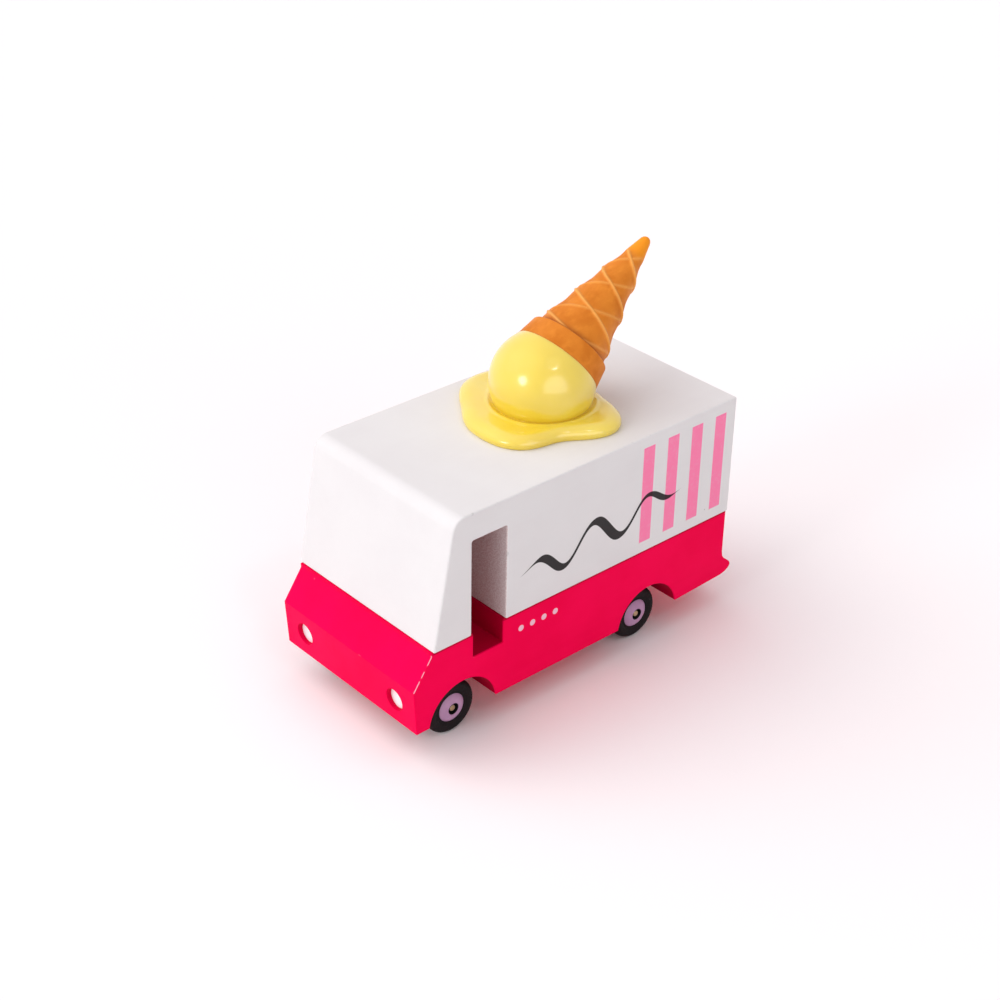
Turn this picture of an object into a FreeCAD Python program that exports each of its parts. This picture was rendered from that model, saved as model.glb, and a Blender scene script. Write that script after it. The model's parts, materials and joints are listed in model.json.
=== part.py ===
import FreeCAD, Part
import math
import os
import Sketcher

# Toy ice cream truck: two wooden blocks on two turning wheelsets, with a melted scoop
# and an upturned waffle cone on the roof. Millimetres.
# Frame: +Z up with the floor at Z = 0, the nose towards -Y, the truck's left side towards +X,
# and the origin on the floor below the middle of the bounding box.
# In the sheet, a name ending in _y is measured from the nose and one ending in _z from the floor.

SIZES = {
    "overall_length": 80.0,
    # red lower block
    "lower_width": 37.4,
    "sill_z": 6.3,
    "tail_sill_z": 7.1,
    "belt_z": 22.0,
    "nose_setback": 0.6,
    "kink_z": 15.4,
    "brow_y": 4.0,
    "brow_z": 21.2,
    "rear_face_y": 77.4,
    "bumper_root_z": 11.3,
    "bumper_lip_z": 8.7,
    "bumper_lip": 0.6,
    "bumper_foot_y": 77.6,
    "lower_bevel": 0.2,
    # white upper block
    "upper_width": 38.3,
    "windscreen_foot_y": 4.25,
    "windscreen_head_y": 8.85,
    "roof_z": 46.6,
    "roof_front_round": 2.8,
    "upper_bevel": 0.25,
    # doorway sawn across both blocks, a little narrower in the red one
    "door_front_y": 12.7,
    "door_rear_y": 20.6,
    "step_front_y": 13.4,
    "step_rear_y": 20.4,
    "door_floor_z": 16.9,
    "door_head_z": 41.2,
    # wheels and axles
    "front_axle_y": 11.2,
    "rear_axle_y": 57.1,
    "tyre_radius": 5.3,
    "tyre_shoulder": 0.8,
    "hub_radius": 2.85,
    "hub_inset": 0.15,
    "hub_crown": 0.65,
    "bush_radius": 1.15,
    "bush_inset": 0.9,
    "pin_radius": 0.6,
    "pin_inset": 0.3,
    "bore_radius": 0.65,
    "wheel_outer_x": 15.6,
    "wheel_width": 4.6,
    "arch_radius": 7.7,
    "arch_web": 19.0,
    "block_width": 18.0,
    "block_length": 9.0,
    "block_foot_z": 3.4,
    "block_bevel": 0.8,
    # headlights
    "lamp_x": 13.0,
    "lamp_z": 10.9,
    "lamp_radius": 2.15,
    "lamp_floor_y": 1.95,
    "lamp_disc": 0.3,
    # melted scoop
    "pool_height": 1.7,
    "pool_rim": 1.0,
    "apron_radius": 11.2,
    "apron_head_radius": 9.2,
    "apron_height": 1.0,
    "ball_y": 45.7,
    "ball_z": 52.8,
    "ball_radius": 9.85,
    # cone, measured along its own axis from the ball's centre
    "cone_lean": 53.3,
    "cone_turn": 3.0,
    "collar_foot": 4.6,
    "collar_head": 8.6,
    "collar_foot_radius": 8.7,
    "collar_head_radius": 8.0,
    "cone_half_angle": 14.25,
    "cone_reach": 33.7,
    "tip_radius": 1.05,
    "ridge_pitch": 13.0,
    "ridge_height": 0.35,
    "ridge_width": 0.8,
    "ridge_start": 6.5,
    "ridge_run": 23.0,
    "ridge_turn": 79.0,
}

# Drops that bound the melted pool, anticlockwise seen from above: centre x, centre y from the
# nose, radius, and the radius of the hollow towards the next drop.
POOL_DROPS = (
    {"x": -11.6, "y": 43.4, "radius": 5.5, "hollow": 60.0},
    {"x": -4.3, "y": 37.3, "radius": 5.7, "hollow": 60.0},
    {"x": 1.9, "y": 38.3, "radius": 8.3, "hollow": 40.0},
    {"x": 9.0, "y": 49.4, "radius": 5.8, "hollow": 40.0},
    {"x": -1.6, "y": 50.3, "radius": 7.4, "hollow": 60.0},
    {"x": -9.4, "y": 50.3, "radius": 4.5, "hollow": 60.0},
)

AXLES = ("front", "rear")
SIDES = (("left", ""), ("right", "-"))

doc = FreeCAD.newDocument("ToyIceCreamTruck")
sheet = doc.addObject("Spreadsheet::Sheet", "Sizes")
for row, (alias, value) in enumerate(SIZES.items(), start=1):
    sheet.set(f"A{row}", alias)
    sheet.set(f"B{row}", str(value))
    sheet.setAlias(f"B{row}", alias)
doc.recompute()

HALF_LENGTH = "Sizes.overall_length / 2"


# ---------------------------------------------------------------- expressions

def size(alias):
    """Expression for a cell of the sheet."""
    return f"Sizes.{alias}"


def along(alias):
    """Expression for a place along the truck, from a cell measured from the nose."""
    return f"(Sizes.{alias} - {HALF_LENGTH})"


def value_of(expression):
    """Present value of an expression, to draw geometry where it belongs."""
    return float(sheet.evalExpression(expression))


# ---------------------------------------------------------------- bodies and sketches

def new_body(label):
    body = doc.addObject("PartDesign::Body", label)
    body.Label = label
    return body


def origin_feature(body, role):
    return next(feature for feature in body.Origin.OriginFeatures if feature.Role == role)


def new_sketch(body, name, role, offset=None):
    """Sketch on an origin plane of the body, moved along the plane's normal by an expression."""
    sketch = body.newObject("Sketcher::SketchObject", name)
    sketch.AttachmentSupport = (origin_feature(body, role), "")
    sketch.MapMode = "FlatFace"
    if offset:
        sketch.setExpression("AttachmentOffset.Base.z", offset)
    return sketch


def pin_point(sketch, geometry, point, place):
    """Hold one sketch point at a pair of expressions."""
    for kind, expression in zip(("DistanceX", "DistanceY"), place):
        index = sketch.addConstraint(Sketcher.Constraint(kind, -1, 1, geometry, point, 1.0))
        sketch.setExpression(f"Constraints[{index}]", expression)


def draw_outline(sketch, corners):
    """Closed chain of lines whose corners are pairs of expressions."""
    places = [FreeCAD.Vector(value_of(across), value_of(up), 0) for across, up in corners]
    count = len(corners)
    for index in range(count):
        sketch.addGeometry(Part.LineSegment(places[index], places[(index + 1) % count]), False)
    for index in range(count):
        sketch.addConstraint(Sketcher.Constraint("Coincident", index, 2, (index + 1) % count, 1))
    for index, corner in enumerate(corners):
        pin_point(sketch, index, 1, corner)


def draw_circle(sketch, place, radius):
    centre = FreeCAD.Vector(value_of(place[0]), value_of(place[1]), 0)
    circle = Part.Circle(centre, FreeCAD.Vector(0, 0, 1), value_of(radius))
    index = sketch.addGeometry(circle, False)
    pin_point(sketch, index, 3, place)
    limit = sketch.addConstraint(Sketcher.Constraint("Radius", index, 1.0))
    sketch.setExpression(f"Constraints[{limit}]", radius)


# ---------------------------------------------------------------- features

def extrude(body, kind, name, sketch, length, midplane=False, reverse=False):
    """Pad or Pocket of a sketch, its length an expression."""
    feature = body.newObject(f"PartDesign::{kind}", name)
    feature.Profile = sketch
    feature.setExpression("Length", length)
    feature.Midplane = midplane
    feature.Reversed = reverse
    return feature


def turn_profile(body, name, sketch, axis):
    """Full revolution of a sketch about its own H_Axis or V_Axis."""
    feature = body.newObject("PartDesign::Revolution", name)
    feature.Profile = sketch
    feature.ReferenceAxis = (sketch, [axis])
    feature.Angle = 360.0
    return feature


def soften_edges(body, kind, name, radius, chosen):
    """Fillet or Chamfer the edges of the body's present shape for which chosen(edge) is true."""
    doc.recompute()
    base = body.Tip
    edges = [
        f"Edge{index}"
        for index, edge in enumerate(base.Shape.Edges, start=1)
        if chosen(edge)
    ]
    feature = body.newObject(f"PartDesign::{kind}", name)
    feature.Base = (base, edges)
    feature.setExpression("Radius" if kind == "Fillet" else "Size", radius)
    return feature


def samples(edge):
    """Both ends and the middle of an edge."""
    first, last = edge.FirstParameter, edge.LastParameter
    return [edge.valueAt(first + (last - first) * part) for part in (0.0, 0.5, 1.0)]


def on_side(half_width, slack=0.01):
    """Chooser of the edges that lie on either side face of a block."""
    def chosen(edge):
        return all(abs(abs(point.x) - half_width) < slack for point in samples(edge))
    return chosen


def straight(chooser):
    """Chooser of the straight edges among those of another chooser."""
    def chosen(edge):
        return isinstance(edge.Curve, Part.Line) and chooser(edge)
    return chosen


def across_at(places, slack=0.01):
    """Chooser of the straight edges along X at any of the (y, z) places."""
    def chosen(edge):
        points = samples(edge)
        if abs(points[0].x - points[2].x) < 1.0:
            return False
        return any(
            all(abs(point.y - y) < slack and abs(point.z - z) < slack for point in points)
            for y, z in places
        )
    return chosen


# ---------------------------------------------------------------- body blocks

def cut_doorway(body, cut, low, high):
    """Saw the doorway right across a block, between two heights; cut names its front and rear sizes."""
    front, rear = along(f"{cut}_front_y"), along(f"{cut}_rear_y")
    sketch = new_sketch(body, f"{body.Label}_doorway", "YZ_Plane")
    draw_outline(sketch, ((front, low), (rear, low), (rear, high), (front, high)))
    extrude(body, "Pocket", f"{body.Label}_door_cut", sketch, f"{size('upper_width')} + 2", midplane=True)


def build_lower_block():
    """Red block: raked nose, belt step, bumper, drilled arches and headlight recesses."""
    body = new_body("body_lower")
    lip_low = f"{size('bumper_lip_z')} - {size('bumper_lip')}"
    corners = (
        (along("nose_setback"), size("sill_z")),
        (along("rear_axle_y"), size("sill_z")),
        (along("bumper_foot_y"), size("tail_sill_z")),
        (HALF_LENGTH, lip_low),
        (HALF_LENGTH, size("bumper_lip_z")),
        (along("rear_face_y"), size("bumper_root_z")),
        (along("rear_face_y"), size("belt_z")),
        (along("brow_y"), size("belt_z")),
        (along("brow_y"), size("brow_z")),
        (f"-{HALF_LENGTH}", size("kink_z")),
    )
    profile = new_sketch(body, "lower_profile", "YZ_Plane")
    draw_outline(profile, corners)
    extrude(body, "Pad", "lower_block", profile, size("lower_width"), midplane=True)
    cut_doorway(body, "step", size("door_floor_z"), f"{size('belt_z')} + 1")
    for side, sign in SIDES:
        arches = new_sketch(body, f"{side}_arches", "YZ_Plane", f"{sign}{size('arch_web')} / 2")
        for axle in AXLES:
            draw_circle(arches, (along(f"{axle}_axle_y"), size("tyre_radius")), size("arch_radius"))
        extrude(body, "Pocket", f"{side}_arch_cut", arches, size("lower_width"), reverse=not sign)

    lamps = new_sketch(body, "lamp_holes", "XZ_Plane", f"-{along('lamp_floor_y')}")
    for _, sign in SIDES:
        draw_circle(lamps, (f"{sign}{size('lamp_x')}", size("lamp_z")), size("lamp_radius"))
    extrude(body, "Pocket", "lamp_cut", lamps, size("lamp_floor_y"), reverse=True)

    flank = value_of(size("lower_width")) / 2
    soften_edges(body, "Chamfer", "lower_side_bevel", size("lower_bevel"), straight(on_side(flank)))
    doc.recompute()
    return body


def build_upper_block():
    """White block: raked windscreen face that rolls over into the roof."""
    body = new_body("body_upper")
    profile = new_sketch(body, "upper_profile", "YZ_Plane")
    draw_outline(profile, (
        (along("windscreen_foot_y"), size("belt_z")),
        (along("rear_face_y"), size("belt_z")),
        (along("rear_face_y"), size("roof_z")),
        (along("windscreen_head_y"), size("roof_z")),
    ))
    extrude(body, "Pad", "upper_block", profile, size("upper_width"), midplane=True)
    head = (value_of(along("windscreen_head_y")), value_of(size("roof_z")))
    soften_edges(body, "Fillet", "roof_front", size("roof_front_round"), across_at([head]))
    cut_doorway(body, "door", f"{size('belt_z')} - 1", size("door_head_z"))
    flank = value_of(size("upper_width")) / 2
    soften_edges(body, "Chamfer", "upper_side_bevel", size("upper_bevel"), on_side(flank))
    doc.recompute()
    return body


def build_headlight(side, sign):
    """White disc at the bottom of a headlight recess."""
    body = new_body(f"headlight_{side}")
    face = new_sketch(body, f"{body.Label}_face", "XZ_Plane", f"-{along('lamp_floor_y')}")
    draw_circle(face, (f"{sign}{size('lamp_x')}", size("lamp_z")), size("lamp_radius"))
    extrude(body, "Pad", f"{body.Label}_disc", face, size("lamp_disc"))
    doc.recompute()
    return body


# ---------------------------------------------------------------- running gear

def build_axle_block(place):
    """Block glued under the body and drilled for the turning pin."""
    body = new_body(f"{place}_axle_block")
    axle = along(f"{place}_axle_y")
    front, rear = (f"{axle} {sign} {size('block_length')} / 2" for sign in "-+")
    foot, bevel = size("block_foot_z"), size("block_bevel")
    profile = new_sketch(body, f"{place}_block_profile", "YZ_Plane")
    draw_outline(profile, (
        (f"{front} + {bevel}", foot),
        (f"{rear} - {bevel}", foot),
        (rear, f"{foot} + {bevel}"),
        (rear, size("sill_z")),
        (front, size("sill_z")),
        (front, f"{foot} + {bevel}"),
    ))
    extrude(body, "Pad", f"{place}_block", profile, size("block_width"), midplane=True)
    bore = new_sketch(body, f"{place}_bore", "YZ_Plane")
    draw_circle(bore, (axle, size("tyre_radius")), size("bore_radius"))
    extrude(body, "Pocket", f"{place}_bore_cut", bore, f"{size('block_width')} + 2", midplane=True)
    doc.recompute()
    return body


def turned_on_axle(label, axle, section):
    """Body turned about an axle from a section of (distance along X, radius) expressions."""
    body = new_body(label)
    profile = new_sketch(body, f"{label}_section", "XY_Plane")
    draw_outline(profile, section)
    turn_profile(body, f"{label}_turned", profile, "H_Axis")
    body.setExpression("Placement.Base.y", along(f"{axle}_axle_y"))
    body.setExpression("Placement.Base.z", size("tyre_radius"))
    return body


def build_wheelset(axle):
    """Pin, domed hubs, tyres and bushes of one axle; they turn together."""
    outer, inner = size("wheel_outer_x"), f"({size('wheel_outer_x')} - {size('wheel_width')})"
    rim = f"({outer} - {size('hub_inset')})"
    crown = f"({rim} + {size('hub_crown')})"
    pin_end, bush_end = (f"({crown} - {size(f'{name}_inset')})" for name in ("pin", "bush"))
    pin, bush, hub, tyre = (size(f"{name}_radius") for name in ("pin", "bush", "hub", "tyre"))
    bodies = [turned_on_axle(f"{axle}_axle", axle, (
        (f"-{pin_end}", "0"), (pin_end, "0"), (pin_end, pin), (f"-{pin_end}", pin),
    ))]
    sections = {
        "tyre": ((inner, hub), (outer, hub), (outer, tyre), (inner, tyre)),
        "hub": ((inner, bush), (crown, bush), (rim, hub), (inner, hub)),
        "bush": ((inner, pin), (bush_end, pin), (bush_end, bush), (inner, bush)),
    }
    rim_radius = value_of(tyre)
    for side, sign in SIDES:
        for piece, section in sections.items():
            mirrored = [(f"{sign}{place}", radius) for place, radius in section]
            body = turned_on_axle(f"{axle}_{side}_{piece}", axle, mirrored)
            if piece == "tyre":
                shoulders = f"{body.Label}_shoulders"
                soften_edges(body, "Chamfer", shoulders, size("tyre_shoulder"), outer_ring(rim_radius))
            bodies.append(body)
    doc.recompute()
    return bodies


def outer_ring(radius, slack=0.01):
    """Chooser of the circular edges of a given radius on the outer side of a wheel."""
    def chosen(edge):
        if not isinstance(edge.Curve, Part.Circle) or abs(edge.Curve.Radius - radius) > slack:
            return False
        return abs(abs(samples(edge)[0].x) - value_of(size("wheel_outer_x"))) < slack
    return chosen


# ---------------------------------------------------------------- scoop and cone

def hollow_centre(drop, following, hollow):
    """Centre of the hollow arc that touches two drops from outside the pool."""
    gap = following["centre"] - drop["centre"]
    near, far, span = drop["radius"] + hollow, following["radius"] + hollow, gap.Length
    reach = (near ** 2 - far ** 2 + span ** 2) / (2 * span)
    depth = math.sqrt(near ** 2 - reach ** 2)
    heading = gap.normalize()
    outward = FreeCAD.Vector(heading.y, -heading.x, 0)
    return drop["centre"] + heading * reach + outward * depth


def arc_between(centre, start, end, towards):
    """Arc about a centre from start to end, whose middle lies towards a direction."""
    middle = centre + towards.normalize() * (start - centre).Length
    return Part.Arc(start, middle, end).toShape()


def pool_outline():
    """Smooth closed wire: an arc round each drop and a shallow hollow between neighbours."""
    half = value_of(HALF_LENGTH)
    drops = [dict(drop, centre=FreeCAD.Vector(drop["x"], drop["y"] - half, 0)) for drop in POOL_DROPS]
    count = len(drops)
    hollows = [
        hollow_centre(drop, drops[(index + 1) % count], drop["hollow"])
        for index, drop in enumerate(drops)
    ]
    edges = []
    for index, drop in enumerate(drops):
        centre, radius = drop["centre"], drop["radius"]
        following = drops[(index + 1) % count]
        before, after = hollows[index - 1] - centre, hollows[index] - centre
        start = centre + before.normalize() * radius
        end = centre + after.normalize() * radius
        edges.append(arc_between(centre, start, end, before + after))
        back = following["centre"] - hollows[index]
        landing = hollows[index] + back.normalize() * drop["hollow"]
        inward = (end - hollows[index]).normalize() + (landing - hollows[index]).normalize()
        edges.append(arc_between(hollows[index], end, landing, inward))
    return Part.Wire(edges)


def build_melted_pool():
    """Pool of melted ice cream on the roof: bevelled rim, swollen foot, and room for the collar."""
    outline = doc.addObject("Part::Feature", "pool_outline")
    outline.Shape = Part.Face(pool_outline())
    outline.Placement.Base.z = value_of(size("roof_z"))
    slab = doc.addObject("Part::Extrusion", "pool_slab")
    slab.Base = outline
    slab.DirMode = "Custom"
    slab.Dir = FreeCAD.Vector(0, 0, 1)
    slab.Solid = True
    slab.setExpression("LengthFwd", size("pool_height"))
    doc.recompute()
    top = slab.Shape.BoundBox.ZMax
    width = value_of(size("pool_rim"))
    rim = doc.addObject("Part::Chamfer", "pool_rim")
    rim.Base = slab
    rim.Edges = [
        (index, width, width)
        for index, edge in enumerate(slab.Shape.Edges, start=1)
        if all(abs(point.z - top) < 0.01 for point in samples(edge))
    ]
    apron = doc.addObject("Part::Cone", "pool_apron")
    apron.setExpression("Radius1", size("apron_radius"))
    apron.setExpression("Radius2", size("apron_head_radius"))
    apron.setExpression("Height", size("apron_height"))
    apron.setExpression("Placement.Base.y", along("ball_y"))
    apron.setExpression("Placement.Base.z", f"{size('roof_z')} + {size('pool_height')}")
    swollen = doc.addObject("Part::Fuse", "swollen_pool")
    swollen.Base = rim
    swollen.Tool = apron
    collar = doc.addObject("Part::Cone", "collar_room")
    collar.setExpression("Radius1", size("collar_foot_radius"))
    collar.setExpression("Radius2", size("collar_head_radius"))
    collar.setExpression("Height", f"{size('collar_head')} - {size('collar_foot')}")
    tilt = cone_rotation()
    collar.Placement = FreeCAD.Placement(ball_centre(), tilt).multiply(
        FreeCAD.Placement(FreeCAD.Vector(0, 0, value_of(size("collar_foot"))), FreeCAD.Rotation())
    )
    pool = doc.addObject("Part::Cut", "melted_pool")
    pool.Base = swollen
    pool.Tool = collar
    pool.Label = "melted_pool"
    doc.recompute()
    return pool


def ball_centre():
    return FreeCAD.Vector(0, value_of(along("ball_y")), value_of(size("ball_z")))


def cone_rotation():
    """Turn that tips +Z back to the cone's axis, and a little to the right."""
    tip_back = FreeCAD.Rotation(FreeCAD.Vector(1, 0, 0), -value_of(size("cone_lean")))
    swing = FreeCAD.Rotation(FreeCAD.Vector(0, 0, 1), value_of(size("cone_turn")))
    return swing * tip_back


def build_ball():
    """Scoop: a ball with one flat on the pool and one under the cone."""
    ball = doc.addObject("Part::Sphere", "whole_ball")
    ball.setExpression("Radius", size("ball_radius"))
    ball.setExpression("Angle2", f"asin({size('collar_foot')} / {size('ball_radius')})")
    ball.Placement.Rotation = cone_rotation()
    ball.setExpression("Placement.Base.y", along("ball_y"))
    ball.setExpression("Placement.Base.z", size("ball_z"))
    reach = f"{size('ball_radius')} * 1.5"
    seat = f"{size('roof_z')} + {size('pool_height')} + {size('apron_height')}"
    below = doc.addObject("Part::Box", "below_ball_seat")
    below.setExpression("Length", f"2 * {reach}")
    below.setExpression("Width", f"2 * {reach}")
    below.setExpression("Height", reach)
    below.setExpression("Placement.Base.x", f"-{reach}")
    below.setExpression("Placement.Base.y", f"{along('ball_y')} - {reach}")
    below.setExpression("Placement.Base.z", f"{seat} - {reach}")
    cut = doc.addObject("Part::Cut", "ice_cream_ball")
    cut.Base = ball
    cut.Tool = below
    cut.Label = "ice_cream_ball"
    doc.recompute()
    return cut


def build_cone():
    """Waffle cone: a turned cone and collar, crossed by raised ridges that wind both ways."""
    body = new_body("waffle_cone")
    section = new_sketch(body, "cone_section", "XZ_Plane")
    foot, head, reach, tip = (
        value_of(size(name)) for name in ("collar_foot", "collar_head", "cone_reach", "tip_radius")
    )
    foot_radius, head_radius = (value_of(size(f"collar_{end}_radius")) for end in ("foot", "head"))
    lean = math.radians(value_of(size("cone_half_angle")))
    centre = reach - tip

    def surface(height):
        """Radius of the bare cone, which runs tangent into its round tip."""
        return (tip + (centre - height) * math.sin(lean)) / math.cos(lean)

    def round_tip(angle):
        """Point of the round tip, at an angle above the cone's cross-section."""
        return FreeCAD.Vector(tip * math.cos(angle), centre + tip * math.sin(angle), 0)

    crown = round_tip(math.radians(75))
    places = [
        FreeCAD.Vector(0, foot, 0),
        FreeCAD.Vector(foot_radius, foot, 0),
        FreeCAD.Vector(head_radius, head, 0),
        FreeCAD.Vector(surface(head), head, 0),
        round_tip(lean),
        round_tip(math.radians(45)),
        crown,
        FreeCAD.Vector(0, crown.y, 0),
    ]
    for start, end in zip(places, places[1:] + places[:1]):
        section.addGeometry(Part.LineSegment(start, end), False)
    turn_profile(body, "cone_turned", section, "V_Axis")
    doc.recompute()

    start = value_of(size("ridge_start"))
    for name, plane, left_handed in (("right_hand", "XZ_Plane", False), ("left_hand", "YZ_Plane", True)):
        ridge = wind_ridge(body, f"{name}_ridge", plane, start, surface(start), left_handed)
        doc.recompute()
        pair = body.newObject("PartDesign::PolarPattern", f"{name}_ridges")
        pair.Originals = [ridge]
        pair.Axis = (origin_feature(body, "Z_Axis"), [""])
        pair.Angle = 360
        pair.Occurrences = 2
        body.Tip = pair
        doc.recompute()
    ridge_turn = FreeCAD.Rotation(FreeCAD.Vector(0, 0, 1), value_of(size("ridge_turn")))
    body.Placement.Rotation = cone_rotation() * ridge_turn
    body.setExpression("Placement.Base.y", along("ball_y"))
    body.setExpression("Placement.Base.z", size("ball_z"))
    doc.recompute()
    return body


def wind_ridge(body, name, plane, start, surface, left_handed):
    """Raised ridge that winds up the cone from a triangle that straddles its surface."""
    half = value_of(size("ridge_width")) / 2
    sunk = 0.3
    triangle = new_sketch(body, f"{name}_section", plane)
    corners = [
        FreeCAD.Vector(surface - sunk, start - half, 0),
        FreeCAD.Vector(surface - sunk, start + half, 0),
        FreeCAD.Vector(surface + value_of(size("ridge_height")), start, 0),
    ]
    for index in range(3):
        triangle.addGeometry(Part.LineSegment(corners[index], corners[(index + 1) % 3]), False)
    ridge = body.newObject("PartDesign::AdditiveHelix", name)
    ridge.Profile = triangle
    ridge.ReferenceAxis = (triangle, ["V_Axis"])
    ridge.Mode = 0
    ridge.setExpression("Pitch", size("ridge_pitch"))
    ridge.setExpression("Height", size("ridge_run"))
    ridge.setExpression("Angle", f"-{size('cone_half_angle')}")
    ridge.LeftHanded = left_handed
    return ridge


# ---------------------------------------------------------------- assembly

pieces = [build_lower_block(), build_upper_block()]
pieces += [build_headlight(side, sign) for side, sign in SIDES]
pieces += [build_axle_block(axle) for axle in AXLES]
pieces += [build_melted_pool(), build_ball(), build_cone()]
for axle in AXLES:
    pieces += build_wheelset(axle)
doc.recompute()

for item in doc.Objects:
    if "Invalid" in item.State or "Error" in item.State:
        raise RuntimeError(f"{item.Name} did not build: {item.State}")

os.makedirs("parts", exist_ok=True)
for piece in pieces:
    shape = piece.Shape
    if shape.isNull() or not shape.isValid() or len(shape.Solids) != 1:
        raise RuntimeError(f"{piece.Label} is not one valid solid")
    shape.exportStep(os.path.join("parts", f"{piece.Label}.step"))
    box = shape.BoundBox
    print(f"{piece.Label:20s} {shape.Volume:9.1f} mm3  x {box.XMin:6.2f} {box.XMax:6.2f}"
          f"  y {box.YMin:6.2f} {box.YMax:6.2f}  z {box.ZMin:6.2f} {box.ZMax:6.2f}")
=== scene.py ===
"""Palm-size wooden ice cream truck: painted blocks on turned wheels, under a scoop and a cone."""

import json
import logging
import math
from collections.abc import Iterator, Sequence
from contextlib import contextmanager
from dataclasses import dataclass
from enum import Enum
from typing import TypeAlias

import bmesh
import bpy
import numpy as np
from mathutils import Matrix, Vector, noise
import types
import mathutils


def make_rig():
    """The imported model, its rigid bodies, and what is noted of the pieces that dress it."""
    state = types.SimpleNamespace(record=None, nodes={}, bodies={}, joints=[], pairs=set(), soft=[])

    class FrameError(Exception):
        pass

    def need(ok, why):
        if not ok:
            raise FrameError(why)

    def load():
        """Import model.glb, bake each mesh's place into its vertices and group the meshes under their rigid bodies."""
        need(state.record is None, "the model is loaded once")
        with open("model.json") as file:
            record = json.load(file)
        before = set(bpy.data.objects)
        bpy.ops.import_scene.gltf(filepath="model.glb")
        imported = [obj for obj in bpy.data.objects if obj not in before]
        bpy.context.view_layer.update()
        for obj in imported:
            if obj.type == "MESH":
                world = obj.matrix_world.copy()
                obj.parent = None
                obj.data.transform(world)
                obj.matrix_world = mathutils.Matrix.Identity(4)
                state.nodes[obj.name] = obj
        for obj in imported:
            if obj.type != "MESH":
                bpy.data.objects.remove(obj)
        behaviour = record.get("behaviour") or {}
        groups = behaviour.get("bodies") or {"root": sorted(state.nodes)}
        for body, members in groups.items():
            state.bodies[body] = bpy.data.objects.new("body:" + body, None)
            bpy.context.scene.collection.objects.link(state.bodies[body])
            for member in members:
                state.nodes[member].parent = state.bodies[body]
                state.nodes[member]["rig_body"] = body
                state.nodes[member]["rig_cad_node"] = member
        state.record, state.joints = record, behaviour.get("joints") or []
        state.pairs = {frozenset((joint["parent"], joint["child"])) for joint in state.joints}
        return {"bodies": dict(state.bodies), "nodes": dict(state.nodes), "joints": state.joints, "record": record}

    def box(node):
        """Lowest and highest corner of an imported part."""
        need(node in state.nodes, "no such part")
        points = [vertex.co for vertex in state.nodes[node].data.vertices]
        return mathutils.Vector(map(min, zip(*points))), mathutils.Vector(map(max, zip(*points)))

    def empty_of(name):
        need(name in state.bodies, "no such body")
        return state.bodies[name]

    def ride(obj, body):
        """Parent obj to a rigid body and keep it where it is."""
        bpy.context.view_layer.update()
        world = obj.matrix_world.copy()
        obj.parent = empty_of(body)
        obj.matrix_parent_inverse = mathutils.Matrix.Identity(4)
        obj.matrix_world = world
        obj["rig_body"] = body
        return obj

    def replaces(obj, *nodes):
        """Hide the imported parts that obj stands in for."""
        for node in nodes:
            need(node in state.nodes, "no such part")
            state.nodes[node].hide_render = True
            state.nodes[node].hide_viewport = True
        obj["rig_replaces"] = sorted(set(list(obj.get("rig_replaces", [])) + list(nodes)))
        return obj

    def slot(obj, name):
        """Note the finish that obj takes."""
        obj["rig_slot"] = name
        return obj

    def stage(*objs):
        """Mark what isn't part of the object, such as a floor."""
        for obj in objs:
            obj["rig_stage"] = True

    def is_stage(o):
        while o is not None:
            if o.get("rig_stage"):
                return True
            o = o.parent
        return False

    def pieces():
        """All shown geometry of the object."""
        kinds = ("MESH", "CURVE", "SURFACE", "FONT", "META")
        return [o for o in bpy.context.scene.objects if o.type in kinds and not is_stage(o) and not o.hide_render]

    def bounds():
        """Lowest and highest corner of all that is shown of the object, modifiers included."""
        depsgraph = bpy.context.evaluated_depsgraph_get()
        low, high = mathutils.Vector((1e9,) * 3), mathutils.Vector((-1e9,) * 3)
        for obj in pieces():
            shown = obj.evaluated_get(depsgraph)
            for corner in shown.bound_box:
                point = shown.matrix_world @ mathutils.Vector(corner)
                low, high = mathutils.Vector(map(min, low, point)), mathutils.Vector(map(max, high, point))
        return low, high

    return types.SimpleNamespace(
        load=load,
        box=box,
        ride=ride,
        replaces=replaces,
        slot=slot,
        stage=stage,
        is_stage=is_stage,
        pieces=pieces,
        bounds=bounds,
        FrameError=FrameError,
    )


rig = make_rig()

MM = 0.001
SIZE_FILE = "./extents.json"
LOG = logging.getLogger("ice_cream_truck")
SHADER, GEOMETRY = "ShaderNodeTree", "GeometryNodeTree"
BODY = "truck_body"

# Lengths in metres and angles in degrees that the mesh tools work to.
WELD = 1e-7
FLAT_WITHIN = 0.5
SHARP_FROM = 35.0
EASING_STEPS = 4

# Places that several pieces share, in millimetres.
ROOF_UP = 46.6
AXLE_UP = 5.3
LAMP_ACROSS, LAMP_UP, LAMP_FLOOR = 13.0, 10.9, 1.95
PAST_THE_SIDE = 25

Tree: TypeAlias = bpy.types.NodeTree
Material: TypeAlias = bpy.types.Material
Mesh: TypeAlias = bpy.types.Mesh
Object: TypeAlias = bpy.types.Object
Feed: TypeAlias = "float | str | Sequence[float] | Term"
Shade: TypeAlias = tuple[float, float, float, float]
Pair: TypeAlias = tuple[float, float]
Place: TypeAlias = tuple[float, float, float]
Outline: TypeAlias = list[Pair]


class Side(Enum):
    """The two sides of the truck, by the sign of their place across it."""

    LEFT = 1
    RIGHT = -1


class Axle(Enum):
    """The two axles, by their millimetres behind the nose."""

    FRONT = 11.2
    REAR = 57.1


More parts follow.
